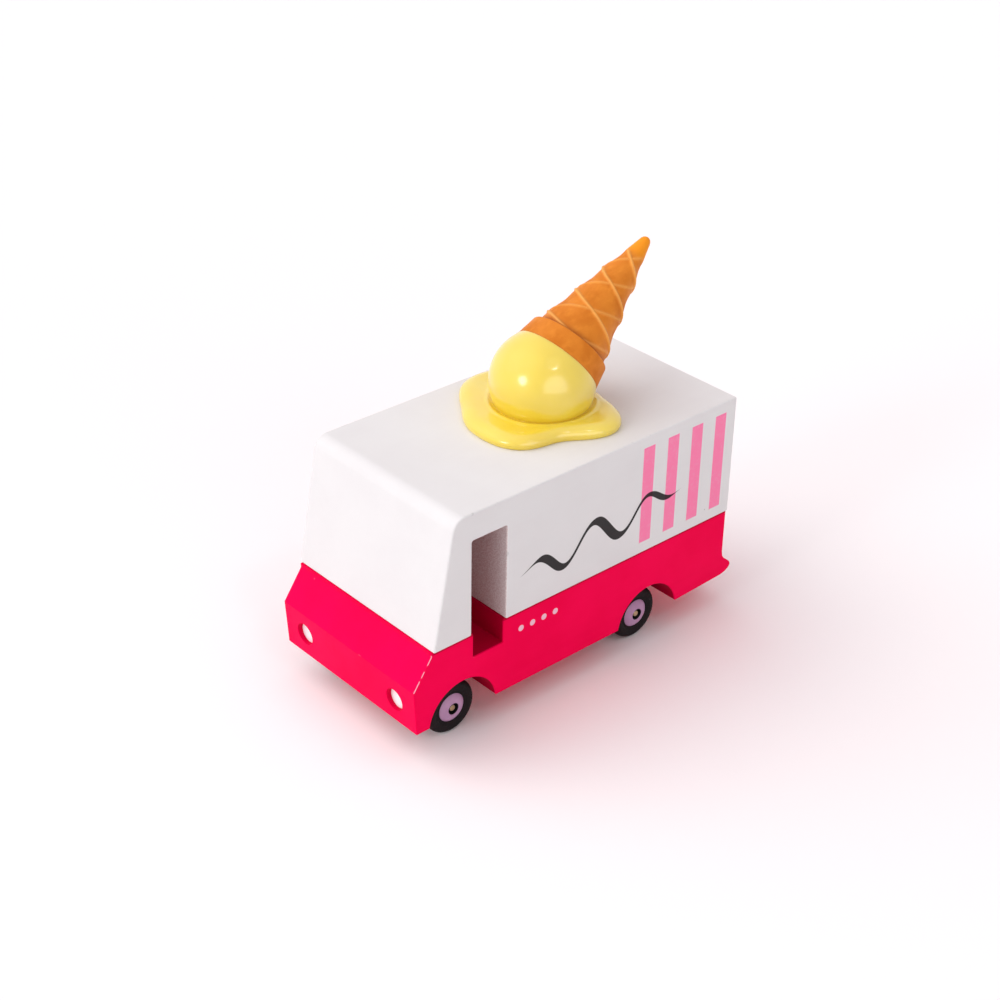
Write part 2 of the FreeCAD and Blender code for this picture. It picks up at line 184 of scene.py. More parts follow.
def shade(code: str) -> Shade:
    """Turns a screen colour into the linear colour that a shader takes.

    Args:
        code: Six hexadecimal digits.

    Returns:
        Red, green, blue and an alpha of one.
    """
    parts = [int(code[i:i + 2], 16) / 255 for i in (0, 2, 4)]
    red, green, blue = (
        p / 12.92 if p <= 0.04045 else ((p + 0.055) / 1.055) ** 2.4 for p in parts
    )
    return red, green, blue, 1.0


# ---------------------------------------------------------------- node trees

@dataclass(frozen=True, eq=False)
class Term:
    """An output in a node tree. The signs of arithmetic on it add the nodes that work them out."""

    wiring: "Wiring"
    socket: bpy.types.NodeSocket

    def __add__(self, other: Feed) -> "Term":
        """Sum."""
        return self.wiring.math("ADD", self, other)

    def __sub__(self, other: Feed) -> "Term":
        """Difference."""
        return self.wiring.math("SUBTRACT", self, other)

    def __rsub__(self, other: float) -> "Term":
        """What is left of a plain number."""
        return self.wiring.math("SUBTRACT", other, self)

    def __mul__(self, other: Feed) -> "Term":
        """Product."""
        return self.wiring.math("MULTIPLY", self, other)

    def __truediv__(self, other: Feed) -> "Term":
        """Quotient."""
        return self.wiring.math("DIVIDE", self, other)

    def __mod__(self, other: Feed) -> "Term":
        """Remainder, never below nought."""
        return self.wiring.math("FLOORED_MODULO", self, other)

    def __gt__(self, other: Feed) -> "Term":
        """One where it is more than the other, and else nought."""
        return self.wiring.math("GREATER_THAN", self, other)

    def __lt__(self, other: Feed) -> "Term":
        """One where it is less than the other, and else nought."""
        return self.wiring.math("LESS_THAN", self, other)

    def __abs__(self) -> "Term":
        """Size without its sign."""
        return self.wiring.math("ABSOLUTE", self)

    def __round__(self) -> "Term":
        """Nearest whole number."""
        return self.wiring.math("ROUND", self)

    def at_least(self, other: Feed) -> "Term":
        """The larger of the two."""
        return self.wiring.math("MAXIMUM", self, other)

    def at_most(self, other: Feed) -> "Term":
        """The smaller of the two."""
        return self.wiring.math("MINIMUM", self, other)


class Wiring:
    """Adds nodes to one tree and joins them up."""

    def __init__(self, tree: Tree) -> None:
        """Starts work on a tree."""
        self.tree = tree

    def add(self, kind: str, feeds: dict[str | int, Feed] | None = None,
            **settings: object) -> bpy.types.Node:
        """Adds a node.

        Args:
            kind: Type of the node.
            feeds: What goes into its sockets, by name or place: a value, or another node's output.
            settings: Options of the node itself.

        Returns:
            The node.
        """
        node = self.tree.nodes.new(kind)
        for name, value in settings.items():
            setattr(node, name, value)
        for name, value in (feeds or {}).items():
            self.feed(node.inputs[name], value)
        return node

    def feed(self, socket: bpy.types.NodeSocket, value: Feed) -> None:
        """Joins an output to a socket, or sets the socket's own value.

        Args:
            socket: The socket.
            value: What goes into it.
        """
        if isinstance(value, Term):
            self.tree.links.new(value.socket, socket)
        else:
            socket.default_value = value

    def out(self, kind: str, feeds: dict[str | int, Feed] | None = None, result: str | int = 0,
            **settings: object) -> Term:
        """Adds a node as add does, and gives one of its outputs by name or place."""
        return Term(self, self.add(kind, feeds, **settings).outputs[result])

    def every(self, kind: str, feeds: dict[str | int, Feed], **settings: object) -> list[Term]:
        """Adds a node as add does, and gives all its outputs in order."""
        return [Term(self, socket) for socket in self.add(kind, feeds, **settings).outputs]

    def group(self, tree: Tree, feeds: dict[str, Feed]) -> list[Term]:
        """Places a node group with its own values, and gives its results in order."""
        kind = "ShaderNodeGroup" if tree.bl_idname == SHADER else "GeometryNodeGroup"
        return self.every(kind, feeds, node_tree=tree)

    def math(self, operation: str, *terms: Feed) -> Term:
        """Result of an operation on single numbers."""
        return self.out("ShaderNodeMath", dict(enumerate(terms)), operation=operation)

    def dot(self, first: Feed, second: Feed) -> Term:
        """How nearly two directions agree, up to one."""
        feeds = {0: first, 1: second}
        return self.out("ShaderNodeVectorMath", feeds, "Value", operation="DOT_PRODUCT")

    def stretch(self, place: Feed, by: Place) -> Term:
        """Place with each of its parts multiplied."""
        return self.out("ShaderNodeVectorMath", {0: place, 1: by}, operation="MULTIPLY")

    def split(self, place: Feed) -> list[Term]:
        """The three parts of a place."""
        return self.every("ShaderNodeSeparateXYZ", {0: place})

    def join(self, *parts: Feed) -> Term:
        """Place made of three parts."""
        return self.out("ShaderNodeCombineXYZ", dict(enumerate(parts)))

    def reach(self, first: Term, second: Term) -> Term:
        """Distance that two steps at right angles make."""
        return self.math("SQRT", first * first + second * second)

    def ramp(self, value: Feed, low: Feed, high: Feed, start: Feed = 0.0, end: Feed = 1.0) -> Term:
        """Result that eases from start to end as a value goes from low to high."""
        feeds = {"Value": value, "From Min": low, "From Max": high, "To Min": start, "To Max": end}
        return self.out("ShaderNodeMapRange", feeds, interpolation_type="SMOOTHSTEP")

    def blend(self, share: Feed, first: Feed, second: Feed, way: str = "MIX") -> Term:
        """Mixes two colours by a share of the second."""
        feeds = {0: share, 6: first, 7: second}
        return self.out("ShaderNodeMix", feeds, 2, data_type="RGBA", blend_type=way)

    def noise(self, place: Feed, scale: float, detail: float = 2.0) -> Term:
        """Cloudy pattern about a half, with features one scale-th of a metre across."""
        return self.out("ShaderNodeTexNoise", {"Vector": place, "Scale": scale, "Detail": detail})

    def mark(self, name: str) -> Term:
        """Number that the mesh keeps under a name."""
        return self.out("ShaderNodeAttribute", result="Fac", attribute_name=name)


@dataclass(frozen=True)
class Port:
    """A named socket on the outside of a node group."""

    name: str
    kind: str = "Float"
    start: float | None = None


class Group(Wiring):
    """A node group under construction."""

    def __init__(self, name: str, kind: str, takes: Sequence[Port], gives: Sequence[Port]) -> None:
        """Starts the group with its named sockets.

        Args:
            name: Name of the group.
            kind: Type of its tree.
            takes: Sockets that go in.
            gives: Sockets that come out.
        """
        super().__init__(bpy.data.node_groups.new(name, kind))
        for way, ports in (("INPUT", takes), ("OUTPUT", gives)):
            for port in ports:
                socket = self.tree.interface.new_socket(
                    port.name, in_out=way, socket_type=f"NodeSocket{port.kind}")
                if port.start is not None:
                    socket.default_value = port.start
        self.takes = self.every("NodeGroupInput", {})[:len(takes)]
        self.exit = self.add("NodeGroupOutput")

    def give(self, *results: Feed) -> Tree:
        """Feeds the group's results, in the order of its sockets.

        Args:
            results: What comes out.

        Returns:
            The finished group.
        """
        for socket, value in zip(self.exit.inputs, results):
            self.feed(socket, value)
        return self.tree


# ---------------------------------------------------------------- shared effects

PLACE, MASK = Port("Place", "Vector"), Port("Mask")


def make_film() -> Tree:
    """Sprayed paint on wood: orange peel over the grain of the block, and a cloudy tone.

    Returns:
        The group.
    """
    w = Group("paint_film", SHADER, (PLACE, Port("Peel", start=0.5), Port("Grain", start=0.5)),
              (Port("Height"), Port("Tone")))
    place, peel, grain = w.takes
    along = w.stretch(place, (1.0, 0.05, 1.0))
    height = w.noise(place, 1500, 1.0) * peel + w.noise(along, 2600, 3.0) * grain
    cloud = w.noise(place, 90, 3.0) + w.noise(along, 900, 2.0) * 0.2
    return w.give(height, w.ramp(cloud, 0.35, 0.85))


def make_wear_and_sheen() -> Tree:
    """Rubbed edges and painted edge highlights: a mask that follows sharp edges, and eased ones by their mark, in
    broken runs.

    Returns:
        The group.
    """
    w = Group("edge_wear", SHADER, (PLACE, Port("Reach", start=0.0003), Port("Share", start=0.5)),
              (MASK,))
    place, reach, share = w.takes
    rounded = w.out("ShaderNodeBevel", {"Radius": reach}, samples=6)
    turn = w.dot(rounded, w.out("ShaderNodeNewGeometry", result="Normal"))
    edge = w.ramp(turn, 0.985, 0.86).at_least(w.mark("eased"))
    patches = w.noise(place, 700, 3.0) + w.noise(place, 120) * 0.6
    return w.give(edge * w.ramp(patches + share * 0.6, 1.0, 1.12))


def make_specks() -> Tree:
    """Specks of dust and pinholes: small dots of unlike size, scattered thinly.

    Returns:
        The group.
    """
    w = Group("specks", SHADER, (PLACE, Port("Spread", start=300.0), Port("Share", start=0.1),
                                 Port("Dot", start=0.12)), (MASK,))
    place, spread, share, size = w.takes
    distance, tint = w.every("ShaderNodeTexVoronoi", {"Vector": place, "Scale": spread})[:2]
    chance, luck, _ = w.every("ShaderNodeSeparateColor", {0: tint})
    radius = size * (luck * 0.8 + 0.2)
    dot = w.ramp(distance, radius * 0.5, radius, 1.0, 0.0)
    return w.give((chance < share) * dot)


def make_measures(nose: float) -> Tree:
    """Reads a place as millimetres from the middle, behind the nose and above the floor.

    Args:
        nose: Place of the nose in the frame.

    Returns:
        The group.
    """
    w = Group("measures", SHADER, (PLACE,), (Port("Across"), Port("Along"), Port("Up")))
    x, y, z = w.split(w.takes[0])
    return w.give(abs(x) * (1 / MM), (y - nose) * (1 / MM), z * (1 / MM))


def make_window() -> Tree:
    """The span between two values: one inside it, falling off softly at both ends.

    Returns:
        The group.
    """
    w = Group("window", SHADER, (Port("Value"), Port("Low"), Port("High"),
                                 Port("Soft", start=0.08)), (MASK,))
    value, low, high, soft = w.takes
    half = soft * 0.5
    rise, fall = (w.ramp((value - edge) * sign, half * -1.0, half)
                  for edge, sign in ((low, 1), (high, -1)))
    return w.give(rise * fall)


@dataclass(frozen=True)
class Effects:
    """The node groups that several finishes share."""

    film: Tree
    wear: Tree
    specks: Tree
    measures: Tree
    window: Tree

    @classmethod
    def build(cls, nose: float) -> "Effects":
        """Builds each group once."""
        return cls(make_film(), make_wear_and_sheen(), make_specks(), make_measures(nose), make_window())


# ---------------------------------------------------------------- finishes

class Coat(Wiring):
    """A material under construction, with the sockets that every finish uses."""

    def __init__(self, name: str, effects: Effects, **uniform: float | Sequence[float]) -> None:
        """Starts a material.

        Args:
            name: Name of the material.
            effects: The shared node groups.
            uniform: Values that are the same all over, by the shader's socket names with _ for
                spaces.
        """
        self.material = bpy.data.materials.new(name)
        self.material.use_nodes = True
        super().__init__(self.material.node_tree)
        self.effects = effects
        self.shader = self.tree.nodes["Principled BSDF"]
        self.place = self.out("ShaderNodeTexCoord", result="Object")
        for socket, value in uniform.items():
            self.shader.inputs[socket.replace("_", " ")].default_value = value

    def effect(self, group: Tree, **feeds: Feed) -> list[Term]:
        """Places a shared effect at the object's own coordinates, and gives its results."""
        return self.group(group, {"Place": self.place, **feeds})

    def worn_and_sheen(self, reach: float, share: Feed) -> Term:
        """Edge mask for rubbing and for painted edge highlights."""
        return self.effect(self.effects.wear, Reach=reach, Share=share)[0]

    def dust(self, spread: float, share: float, size: float) -> Term:
        """Mask of scattered specks."""
        return self.effect(self.effects.specks, Spread=spread, Share=share, Dot=size)[0]

    def window(self, value: Feed, low: Feed, high: Feed, soft: float = 0.08) -> Term:
        """Mask of the span between two values."""
        feeds = {"Value": value, "Low": low, "High": high, "Soft": soft}
        return self.group(self.effects.window, feeds)[0]

    def finish(self, colour: Feed, roughness: Feed, height: Feed, depth: float) -> Material:
        """Feeds the shader.

        Args:
            colour: Colour of the surface.
            roughness: Its roughness.
            height: Pattern that raises it, at half strength.
            depth: Metres that a height of one stands for.

        Returns:
            The finished material.
        """
        bump = self.out("ShaderNodeBump", {"Height": height, "Distance": depth, "Strength": 0.5})
        feeds = {"Base Color": colour, "Roughness": roughness, "Normal": bump}
        for name, value in feeds.items():
            self.feed(self.shader.inputs[name], value)
        return self.material


class PlacedCoat(Coat):
    """A coat that knows its place on the truck, in millimetres."""

    def __init__(self, name: str, effects: Effects, **uniform: float) -> None:
        """Starts a material, as a coat does, and measures its place."""
        super().__init__(name, effects, **uniform)
        self.across, self.along, self.up = self.effect(effects.measures)


@dataclass(frozen=True)
class RedPaint:
    """Satin red on the lower block: scuffed edges with a painted highlight on the brow, painted shade in its hollows
    and pale dots on each flank.
    """

    paint: Shade = (1.0, 0.0, 0.08, 1.0)
    thin: Shade = (0.9, 0.0, 0.06, 1.0)
    painted_shade: Shade = (0.3, 0.0, 0.01, 1.0)
    rubbed_and_highlight: Shade = shade("FFC4DA")
    dot: Shade = shade("F6C4D6")
    flank: float = 18.4
    brow: Pair = (15.4, 21.6)
    brow_depth: float = 4.6
    step: Pair = (13.35, 20.45)
    step_floor: float = 16.85
    arch_radius: float = 7.85
    lamp_radius: float = 2.22
    nose_depth: float = 4.0
    belt: float = 21.72
    ledge: Pair = (4.2, 4.9)
    dots_from: float = 24.6
    dot_pitch: float = 2.75
    dot_count: int = 4
    dots_up: float = 18.1
    dot_radius: float = 0.62
    dot_blur: float = 0.05

    def make(self, effects: Effects, name: str = "red_satin_paint",
             dotted: bool = True) -> Material:
        """Makes the material.

        Args:
            effects: The shared node groups.
            name: Name of the material.
            dotted: Whether the flanks carry the row of dots.

        Returns:
            The material.
        """
        w = PlacedCoat(name, effects, Specular_IOR_Level=0.02)
        height, tone = w.effect(effects.film, Peel=0.6, Grain=0.35)
        colour = w.blend(tone * 0.6, self.paint, self.thin)
        # Painted shade in the step, arches and lamp holes, and a painted shadow under the white block.
        colour = w.blend(self.recess_shade(w) * 0.72, colour, self.painted_shade)
        if dotted:
            colour = w.blend(self.dots(w), colour, self.dot)
        # Along the brow's side edge the pale edge colour is partly scuffing and partly a painted highlight.
        brow = w.window(w.up, *self.brow, 0.4) * (w.along < self.brow_depth)
        brow = brow * w.ramp(w.across, self.flank - 0.3, self.flank)
        worn_and_sheen = w.worn_and_sheen(reach=0.0002, share=brow * 0.56) * (brow * 0.55 + 0.18)
        colour = w.blend(worn_and_sheen, colour, self.rubbed_and_highlight)
        colour = w.blend(w.dust(spread=420.0, share=0.05, size=0.1) * 0.15, colour, self.rubbed_and_highlight)
        return w.finish(colour, w.ramp(tone + worn_and_sheen, 0.0, 1.6, 0.4, 0.62), height, 0.00003)

    def recess_shade(self, w: PlacedCoat) -> Term:
        """Paints shade on the walls of the step, arches and lamp holes, and a painted shadow along the seam under the
        white block.

        Args:
            w: The coat.

        Returns:
            A mask of painted shade, at half strength in the lamp holes.
        """
        # Painted shade in the hollows: the step, the arches and the lamp holes.
        step = w.window(w.along, *self.step) * (w.up > self.step_floor)
        nearest = w.math("MINIMUM", *(abs(w.along - axle.value) for axle in Axle))
        arch = w.reach(nearest, w.up - AXLE_UP) < self.arch_radius
        lamp = w.reach(w.across - LAMP_ACROSS, w.up - LAMP_UP) < self.lamp_radius
        hollow = step.at_least(arch).at_least(lamp * (w.along < self.nose_depth) * 0.5)
        # Painted shadow of the white block's overhang along the belt.
        seam = w.ramp(w.up, self.belt - 0.4, self.belt - 0.1)
        seam = seam * w.ramp(w.along, *self.ledge, 0.3, 1.0)
        return (hollow * (w.across < self.flank)).at_least(seam)

    def dots(self, w: PlacedCoat) -> Term:
        """Finds the row of dots on each flank.

        Args:
            w: The coat.

        Returns:
            A mask.
        """
        step = (w.along - self.dots_from) / self.dot_pitch
        off = (step - round(step).at_least(0.0).at_most(self.dot_count - 1.0)) * self.dot_pitch
        reach = w.reach(off, w.up - self.dots_up)
        edge = (self.dot_radius - self.dot_blur, self.dot_radius + self.dot_blur)
        return w.ramp(reach, *edge, 1.0, 0.0) * (w.across > self.flank)


@dataclass(frozen=True)
class PrintedPaint:
    """Matte white on the upper block, printed on each flank with bars and one brushed wave, with painted shade inside
    the doorway.
    """

    paint: Shade = (0.785, 0.775, 0.78, 1.0)
    thin: Shade = (0.765, 0.75, 0.757, 1.0)
    bar: Shade = (1.0, 0.235, 0.44, 1.0)
    ink: Shade = shade("100C0E")
    raw: Shade = shade("E6DADA")
    raw_grain_and_shade: Shade = shade("C29C9C")
    speck: Shade = shade("6E6463")
    flank: float = 19.0
    bars_from: float = 53.1
    bar_pitch: float = 6.233
    bar_width: float = 2.9
    bar_count: int = 4
    bar_span: Pair = (24.4, 44.3)
    wave_from: float = 23.6
    wave_length: float = 42.5
    wave_up: float = 29.4
    wave_rise: float = 3.2
    wave_swing: float = 2.9
    wave_turns: float = 3.0
    brush: float = 2.0
    doorway: Pair = (12.65, 20.75)
    doorway_head: float = 41.35
    body_half: float = 19.15
    wall_from: float = 0.12
    wall_shade_depth: float = 6.0

    def make(self, effects: Effects) -> Material:
        """Makes the material.

        Args:
            effects: The shared node groups.

        Returns:
            The material.
        """
        w = PlacedCoat("printed_white_paint", effects, Specular_IOR_Level=0.15)
        height, tone = w.effect(effects.film, Peel=0.5, Grain=0.4)
        flank = w.across > self.flank
        cover = w.ramp(w.noise(w.place, 1400, 3.0), 0.28, 0.5, 0.9, 1.0)
        colour = w.blend(tone, self.paint, self.thin)
        colour = w.blend(self.bars(w) * flank * cover, colour, self.bar)
        colour = w.blend(self.wave(w) * flank * 0.97, colour, self.ink)
        raw = w.window(w.along, *self.doorway, 0.1) * (w.up < self.doorway_head)
        raw = raw * (w.across < self.body_half - self.wall_from)
        # Painted shade: the doorway's rear wall darkens inward from the flank, over the board's own grit.
        depth = w.ramp(self.body_half - w.across, 0.0, self.wall_shade_depth)
        grit = w.ramp(w.noise(w.place, 3600, 2.0), 0.36, 0.66)
        board = w.blend(depth * 0.6 + grit * 0.4, self.raw, self.raw_grain_and_shade)
        colour = w.blend(raw, colour, board)
        colour = w.blend(w.dust(spread=260.0, share=0.035, size=0.07) * 0.55, colour, self.speck)
        colour = w.blend(w.worn_and_sheen(reach=0.0002, share=0.12) * 0.22, colour, self.speck)
        roughness = w.ramp(tone, 0.0, 1.0, 0.5, 0.62)
        return w.finish(colour, roughness, height + grit * raw * 2.5, 0.00003)

    def bars(self, w: PlacedCoat) -> Term:
        """Finds the upright bars.

        Args:
            w: The coat.

        Returns:
            A mask.
        """
        step = (w.along - self.bars_from) / self.bar_pitch
        stripe = w.window(w.math("FRACT", step) * self.bar_pitch, 0.06, self.bar_width)
        row = w.window(step, -0.01, self.bar_count - 0.02, 0.01)
        return stripe * row * w.window(w.up, *self.bar_span)

    def wave(self, w: PlacedCoat) -> Term:
        """Finds the brushed wave, broad on its downstrokes and tapering at both ends.

        Args:
            w: The coat.

        Returns:
            A mask.
        """
        share = (w.along - self.wave_from) / self.wave_length
        taper = w.window(share, 0.1, 0.82, 0.36) * w.window(share, 0.0, 1.0, 0.04)
        turns = 2 * math.pi * self.wave_turns
        swing, fall = (w.math(kind, share * turns) for kind in ("SINE", "COSINE"))
        centre = swing * (taper * self.wave_swing) + self.wave_up + share * self.wave_rise
        steep = fall * (self.wave_swing * turns / self.wave_length)
        away = abs(w.up - centre) * w.math("INVERSE_SQRT", steep * steep + 1.0)
        press = w.ramp(fall, 1.0, -1.0, 0.34, 1.0) * taper
        return w.ramp(away - press * (self.brush / 2), -0.08, 0.0, 1.0, 0.0)


@dataclass(frozen=True)
class IceCream:
    """Glossy moulded ice cream, with painted shade in its creases round the ball's foot and under the cone's collar.
    """

    pale: Shade = shade("F1D63C")
    body: Shade = shade("EACC2A")
    crease: Shade = shade("E3BC30")
    pit: Shade = shade("8A6A1C")

    def make(self, effects: Effects, name: str) -> Material:
        """Makes the material.

        Args:
            effects: The shared node groups.
            name: Name of the material.

        Returns:
            The material.
        """
        w = Coat(
            name, effects, Specular_IOR_Level=0.65, Coat_Weight=0.85, Coat_Roughness=0.16,
            Coat_IOR=1.7, Subsurface_Weight=0.15, Subsurface_Scale=0.0008,
            Subsurface_Radius=(1.0, 0.8, 0.3),
        )
        colour = w.blend(w.ramp(w.noise(w.place, 120, 1.0), 0.2, 0.85), self.pale, self.body)
        # Painted shade along the creases, from the mesh's crease mark.
        colour = w.blend(w.mark("crease") * 0.45, colour, self.crease)
        colour = w.blend(w.dust(spread=330.0, share=0.012, size=0.08) * 0.7, colour, self.pit)
        roughness = w.ramp(w.noise(w.place, 600, 2.0), 0.3, 0.8, 0.3, 0.4)
        ripple = w.noise(w.place, 300, 1.0) + w.noise(w.place, 2400, 2.0) * 0.02
        return w.finish(colour, roughness, ripple, 0.00012)


@dataclass(frozen=True)
class WaferPlastic:
    """Matte orange of the cone, paler on its ridges from rubbing and from a painted highlight, with painted shade in
    its gaps and a painted glow at its tip.
    """

    lit: Shade = shade("F29C36")
    body: Shade = shade("DE8327")
    hollow: Shade = shade("D0741D")
    # The ridge colour is pale paint with a painted highlight, the glow is painted light through the tip and the gap
    # colour is painted shade.
    ridge: Shade = shade("FFBE66")
    glow: Shade = shade("F99A1E")
    gap: Shade = shade("9A4A12")

    def make(self, effects: Effects) -> Material:
        """Makes the material.

        Args:
            effects: The shared node groups.

        Returns:
            The material.
        """
        w = Coat("wafer_orange_plastic", effects, Specular_IOR_Level=0.15)
        cloud = w.ramp(w.noise(w.place, 260, 3.0), 0.3, 0.7)
        smear = w.ramp(w.noise(w.stretch(w.place, (1.0, 0.5, 1.0)), 900, 3.0), 0.45, 0.8)
        colour = w.blend(cloud, self.body, self.hollow)
        # Painted: shade in the gap above the collar and at the foot, a glow at the tip and a highlight on the ridges.
        for share, tint in (
            (smear * 0.35, self.lit), (w.mark("tip") * 0.9, self.glow),
            (w.mark("gap") * 0.75, self.gap), (w.mark("ridge") * 0.66, self.ridge),
            (w.worn_and_sheen(reach=0.0003, share=0.9) * 0.6, self.ridge),
        ):
            colour = w.blend(share, colour, tint)
        grain = w.noise(w.place, 3200, 3.0) + w.noise(w.place, 500) * 0.8
        return w.finish(colour, w.ramp(cloud, 0.0, 1.0, 0.48, 0.62), grain, 0.00004)


@dataclass(frozen=True)
class Moulding:
    """Plain moulded or turned stuff of the running gear and lamps, with a fine grain."""

    name: str
    light: Shade
    dark: Shade
    smooth: float
    rough: float
    shine: float = 0.3
    metal: float = 0.0
    scale: float = 1800.0
    depth: float = 0.00003
    edge: float = 0.25
    speck: Shade = shade("A89EA2")

    def make(self, effects: Effects) -> Material:
        """Makes the material.

        Args:
            effects: The shared node groups.

        Returns:
            The material.
        """
        w = Coat(self.name, effects, Specular_IOR_Level=self.shine, Metallic=self.metal)
        cloud = w.ramp(w.noise(w.place, self.scale / 6, 3.0), 0.3, 0.72)
        colour = w.blend(cloud, self.light, self.dark)
        colour = w.blend(w.worn_and_sheen(reach=0.00015, share=0.6) * self.edge, colour, self.light, "SCREEN")
        colour = w.blend(w.dust(spread=900.0, share=0.06, size=0.12) * 0.25, colour, self.speck)
        spots = w.noise(w.place, self.scale, 3.0)
        roughness = w.ramp(spots, 0.3, 0.75, self.smooth, self.rough)
        return w.finish(colour, roughness, w.noise(w.place, self.scale, 4.0), self.depth)


# ---------------------------------------------------------------- meshes

@contextmanager
def reshaping(mesh: Mesh) -> Iterator[bmesh.types.BMesh]:
    """Opens a mesh for changes and writes them back.

    Args:
        mesh: The mesh.

    Yields:
        Its working copy.
    """
    work = bmesh.new()
    work.from_mesh(mesh)
    yield work
    work.to_mesh(mesh)
    work.free()


def mesh_object(name: str, points: Sequence = (), edges: Sequence = (),
                faces: Sequence = ()) -> Object:
    """Makes an object from plain lists.

    Args:
        name: Name of the object.
        points: Places of its points.
        edges: Pairs of points.
        faces: Rings of points.

    Returns:
        The object.
    """
    mesh = bpy.data.meshes.new(name)
    mesh.from_pydata([tuple(p) for p in points], edges, faces)
    mesh.update()
    item = bpy.data.objects.new(name, mesh)
    bpy.context.scene.collection.objects.link(item)
    return item


def settle(item: Object) -> None:
    """Turns an object with modifiers into a plain mesh with the same shape.

    Args:
        item: The object.
    """
    graph = bpy.context.evaluated_depsgraph_get()
    mesh = bpy.data.meshes.new_from_object(
        item.evaluated_get(graph), preserve_all_data_layers=True, depsgraph=graph)
    item.modifiers.clear()
    item.data = mesh
    mesh.name = item.name


def point_outwards(mesh: Mesh) -> None:
    """Merges doubled points and turns every face of a closed mesh outwards.

    Args:
        mesh: The mesh.
    """
    with reshaping(mesh) as work:
        bmesh.ops.remove_doubles(work, verts=work.verts, dist=WELD)
        bmesh.ops.recalc_face_normals(work, faces=work.faces)
        if work.calc_volume(signed=True) < 0:
            bmesh.ops.reverse_faces(work, faces=work.faces)


def keep_mark(mesh: Mesh, name: str, domain: str, values: np.ndarray) -> None:
    """Keeps a number for each point or face of a mesh under a name."""
    layer = mesh.attributes.new(name, "FLOAT", domain)
    layer.data.foreach_set("value", values.astype(np.float32))


def carve(block: Object, tools: Sequence[Object]) -> None:
    """Cuts each tool's shape out of a block and throws the tools away.

    Args:
        block: The block.
        tools: The shapes to cut out.
    """
    for tool in tools:
        cut = block.modifiers.new("cut", "BOOLEAN")
        cut.operation, cut.solver, cut.object = "DIFFERENCE", "EXACT", tool
    settle(block)
    for tool in tools:
        bpy.data.objects.remove(tool)
    with reshaping(block.data) as work:
        bmesh.ops.dissolve_limit(
            work, angle_limit=math.radians(FLAT_WITHIN), verts=work.verts, edges=work.edges)


def ease_edges(block: Object, radius: float) -> None:
    """Rounds the sharp edges of a block, keeps its flats flat and marks the rounded faces.

    Args:
        block: The block.
        radius: Width of the rounding, in millimetres.
    """
    mesh = block.data
    mesh.shade_smooth()
    bevel = block.modifiers.new("eased", "BEVEL")
    bevel.width, bevel.segments = radius * MM, EASING_STEPS
    bevel.limit_method, bevel.angle_limit = "ANGLE", math.radians(SHARP_FROM)
    bevel.harden_normals, bevel.miter_outer = True, "MITER_ARC"
    bevel.material = 1
    for _ in range(2):
        mesh.materials.append(None)
    settle(block)
    mesh = block.data
    eased = np.zeros(len(mesh.polygons), np.int32)
    mesh.polygons.foreach_get("material_index", eased)
    keep_mark(mesh, "eased", "FACE", eased)
    mesh.polygons.foreach_set("material_index", np.zeros_like(eased))
    mesh.materials.clear()


@dataclass(frozen=True)
class Ruler:
    """Reads a maker's millimetres across the truck, behind its nose and above the floor."""

    nose: float

    def at(self, across: float, along: float, up: float) -> Vector:
        """Place in the frame, in metres."""
        return Vector((across * MM, self.nose + along * MM, up * MM))

    def prism(self, name: str, outline: Outline, half_width: float) -> Object:
        """Makes a block with a side outline, carried across the truck.

        Args:
            name: Name of the object.
            outline: Corners of the side view, in order.
            half_width: Half of the width.

        Returns:
            The block.
        """
        count, half = len(outline), half_width * MM
        side = [self.at(0, *corner) for corner in outline]
        points = [(sign * half, p.y, p.z) for sign in (-1, 1) for p in side]
        walls = [(i, (i + 1) % count, count + (i + 1) % count, count + i) for i in range(count)]
        ends = [tuple(range(count - 1, -1, -1)), tuple(range(count, 2 * count))]
        block = mesh_object(name, points, faces=walls + ends)
        point_outwards(block.data)
        return block

    def saw(self, along: Pair, up: Pair) -> Object:
        """Makes a slab that cuts right across a block.

        Args:
            along: Places of its two ends behind the nose.
            up: Heights of its underside and its top.

        Returns:
            The slab.
        """
        (front, back), (low, high) = along, up
        corners = [(front, low), (back, low), (back, high), (front, high)]
        return self.prism("saw", corners, PAST_THE_SIDE)

    def drill(self, start: Place, end: Place, radius: float, sides: int) -> Object:
        """Makes a round bar between two places, to bore a hole with.

        Args:
            start: Middle of one end.
            end: Middle of the other end.
            radius: Radius of the hole.
            sides: Number of its flats.

        Returns:
            The bar.
        """
        first, last = self.at(*start), self.at(*end)
        turn = (last - first).to_track_quat("Z", "Y").to_matrix().to_4x4()
        drill = mesh_object("drill")
        with reshaping(drill.data) as work:
            bmesh.ops.create_cone(
                work, cap_ends=True, segments=sides, radius1=radius * MM, radius2=radius * MM,
                depth=(last - first).length, matrix=Matrix.Translation((first + last) / 2) @ turn)
        return drill


def turned(degrees: float, axis: str) -> Matrix:
    """Turn about an axis through the origin."""
    return Matrix.Rotation(math.radians(degrees), 4, axis)


def arc(centre: Pair, radius: float, start: float, end: float, steps: int = 8) -> Outline:
    """Points round part of a circle, in degrees from the first axis towards the second."""
    turns = [math.radians(start + (end - start) * i / steps) for i in range(steps + 1)]
    return [(centre[0] + radius * math.cos(t), centre[1] + radius * math.sin(t)) for t in turns]


# ---------------------------------------------------------------- geometry trees

SOLID = Port("Solid", "Geometry")


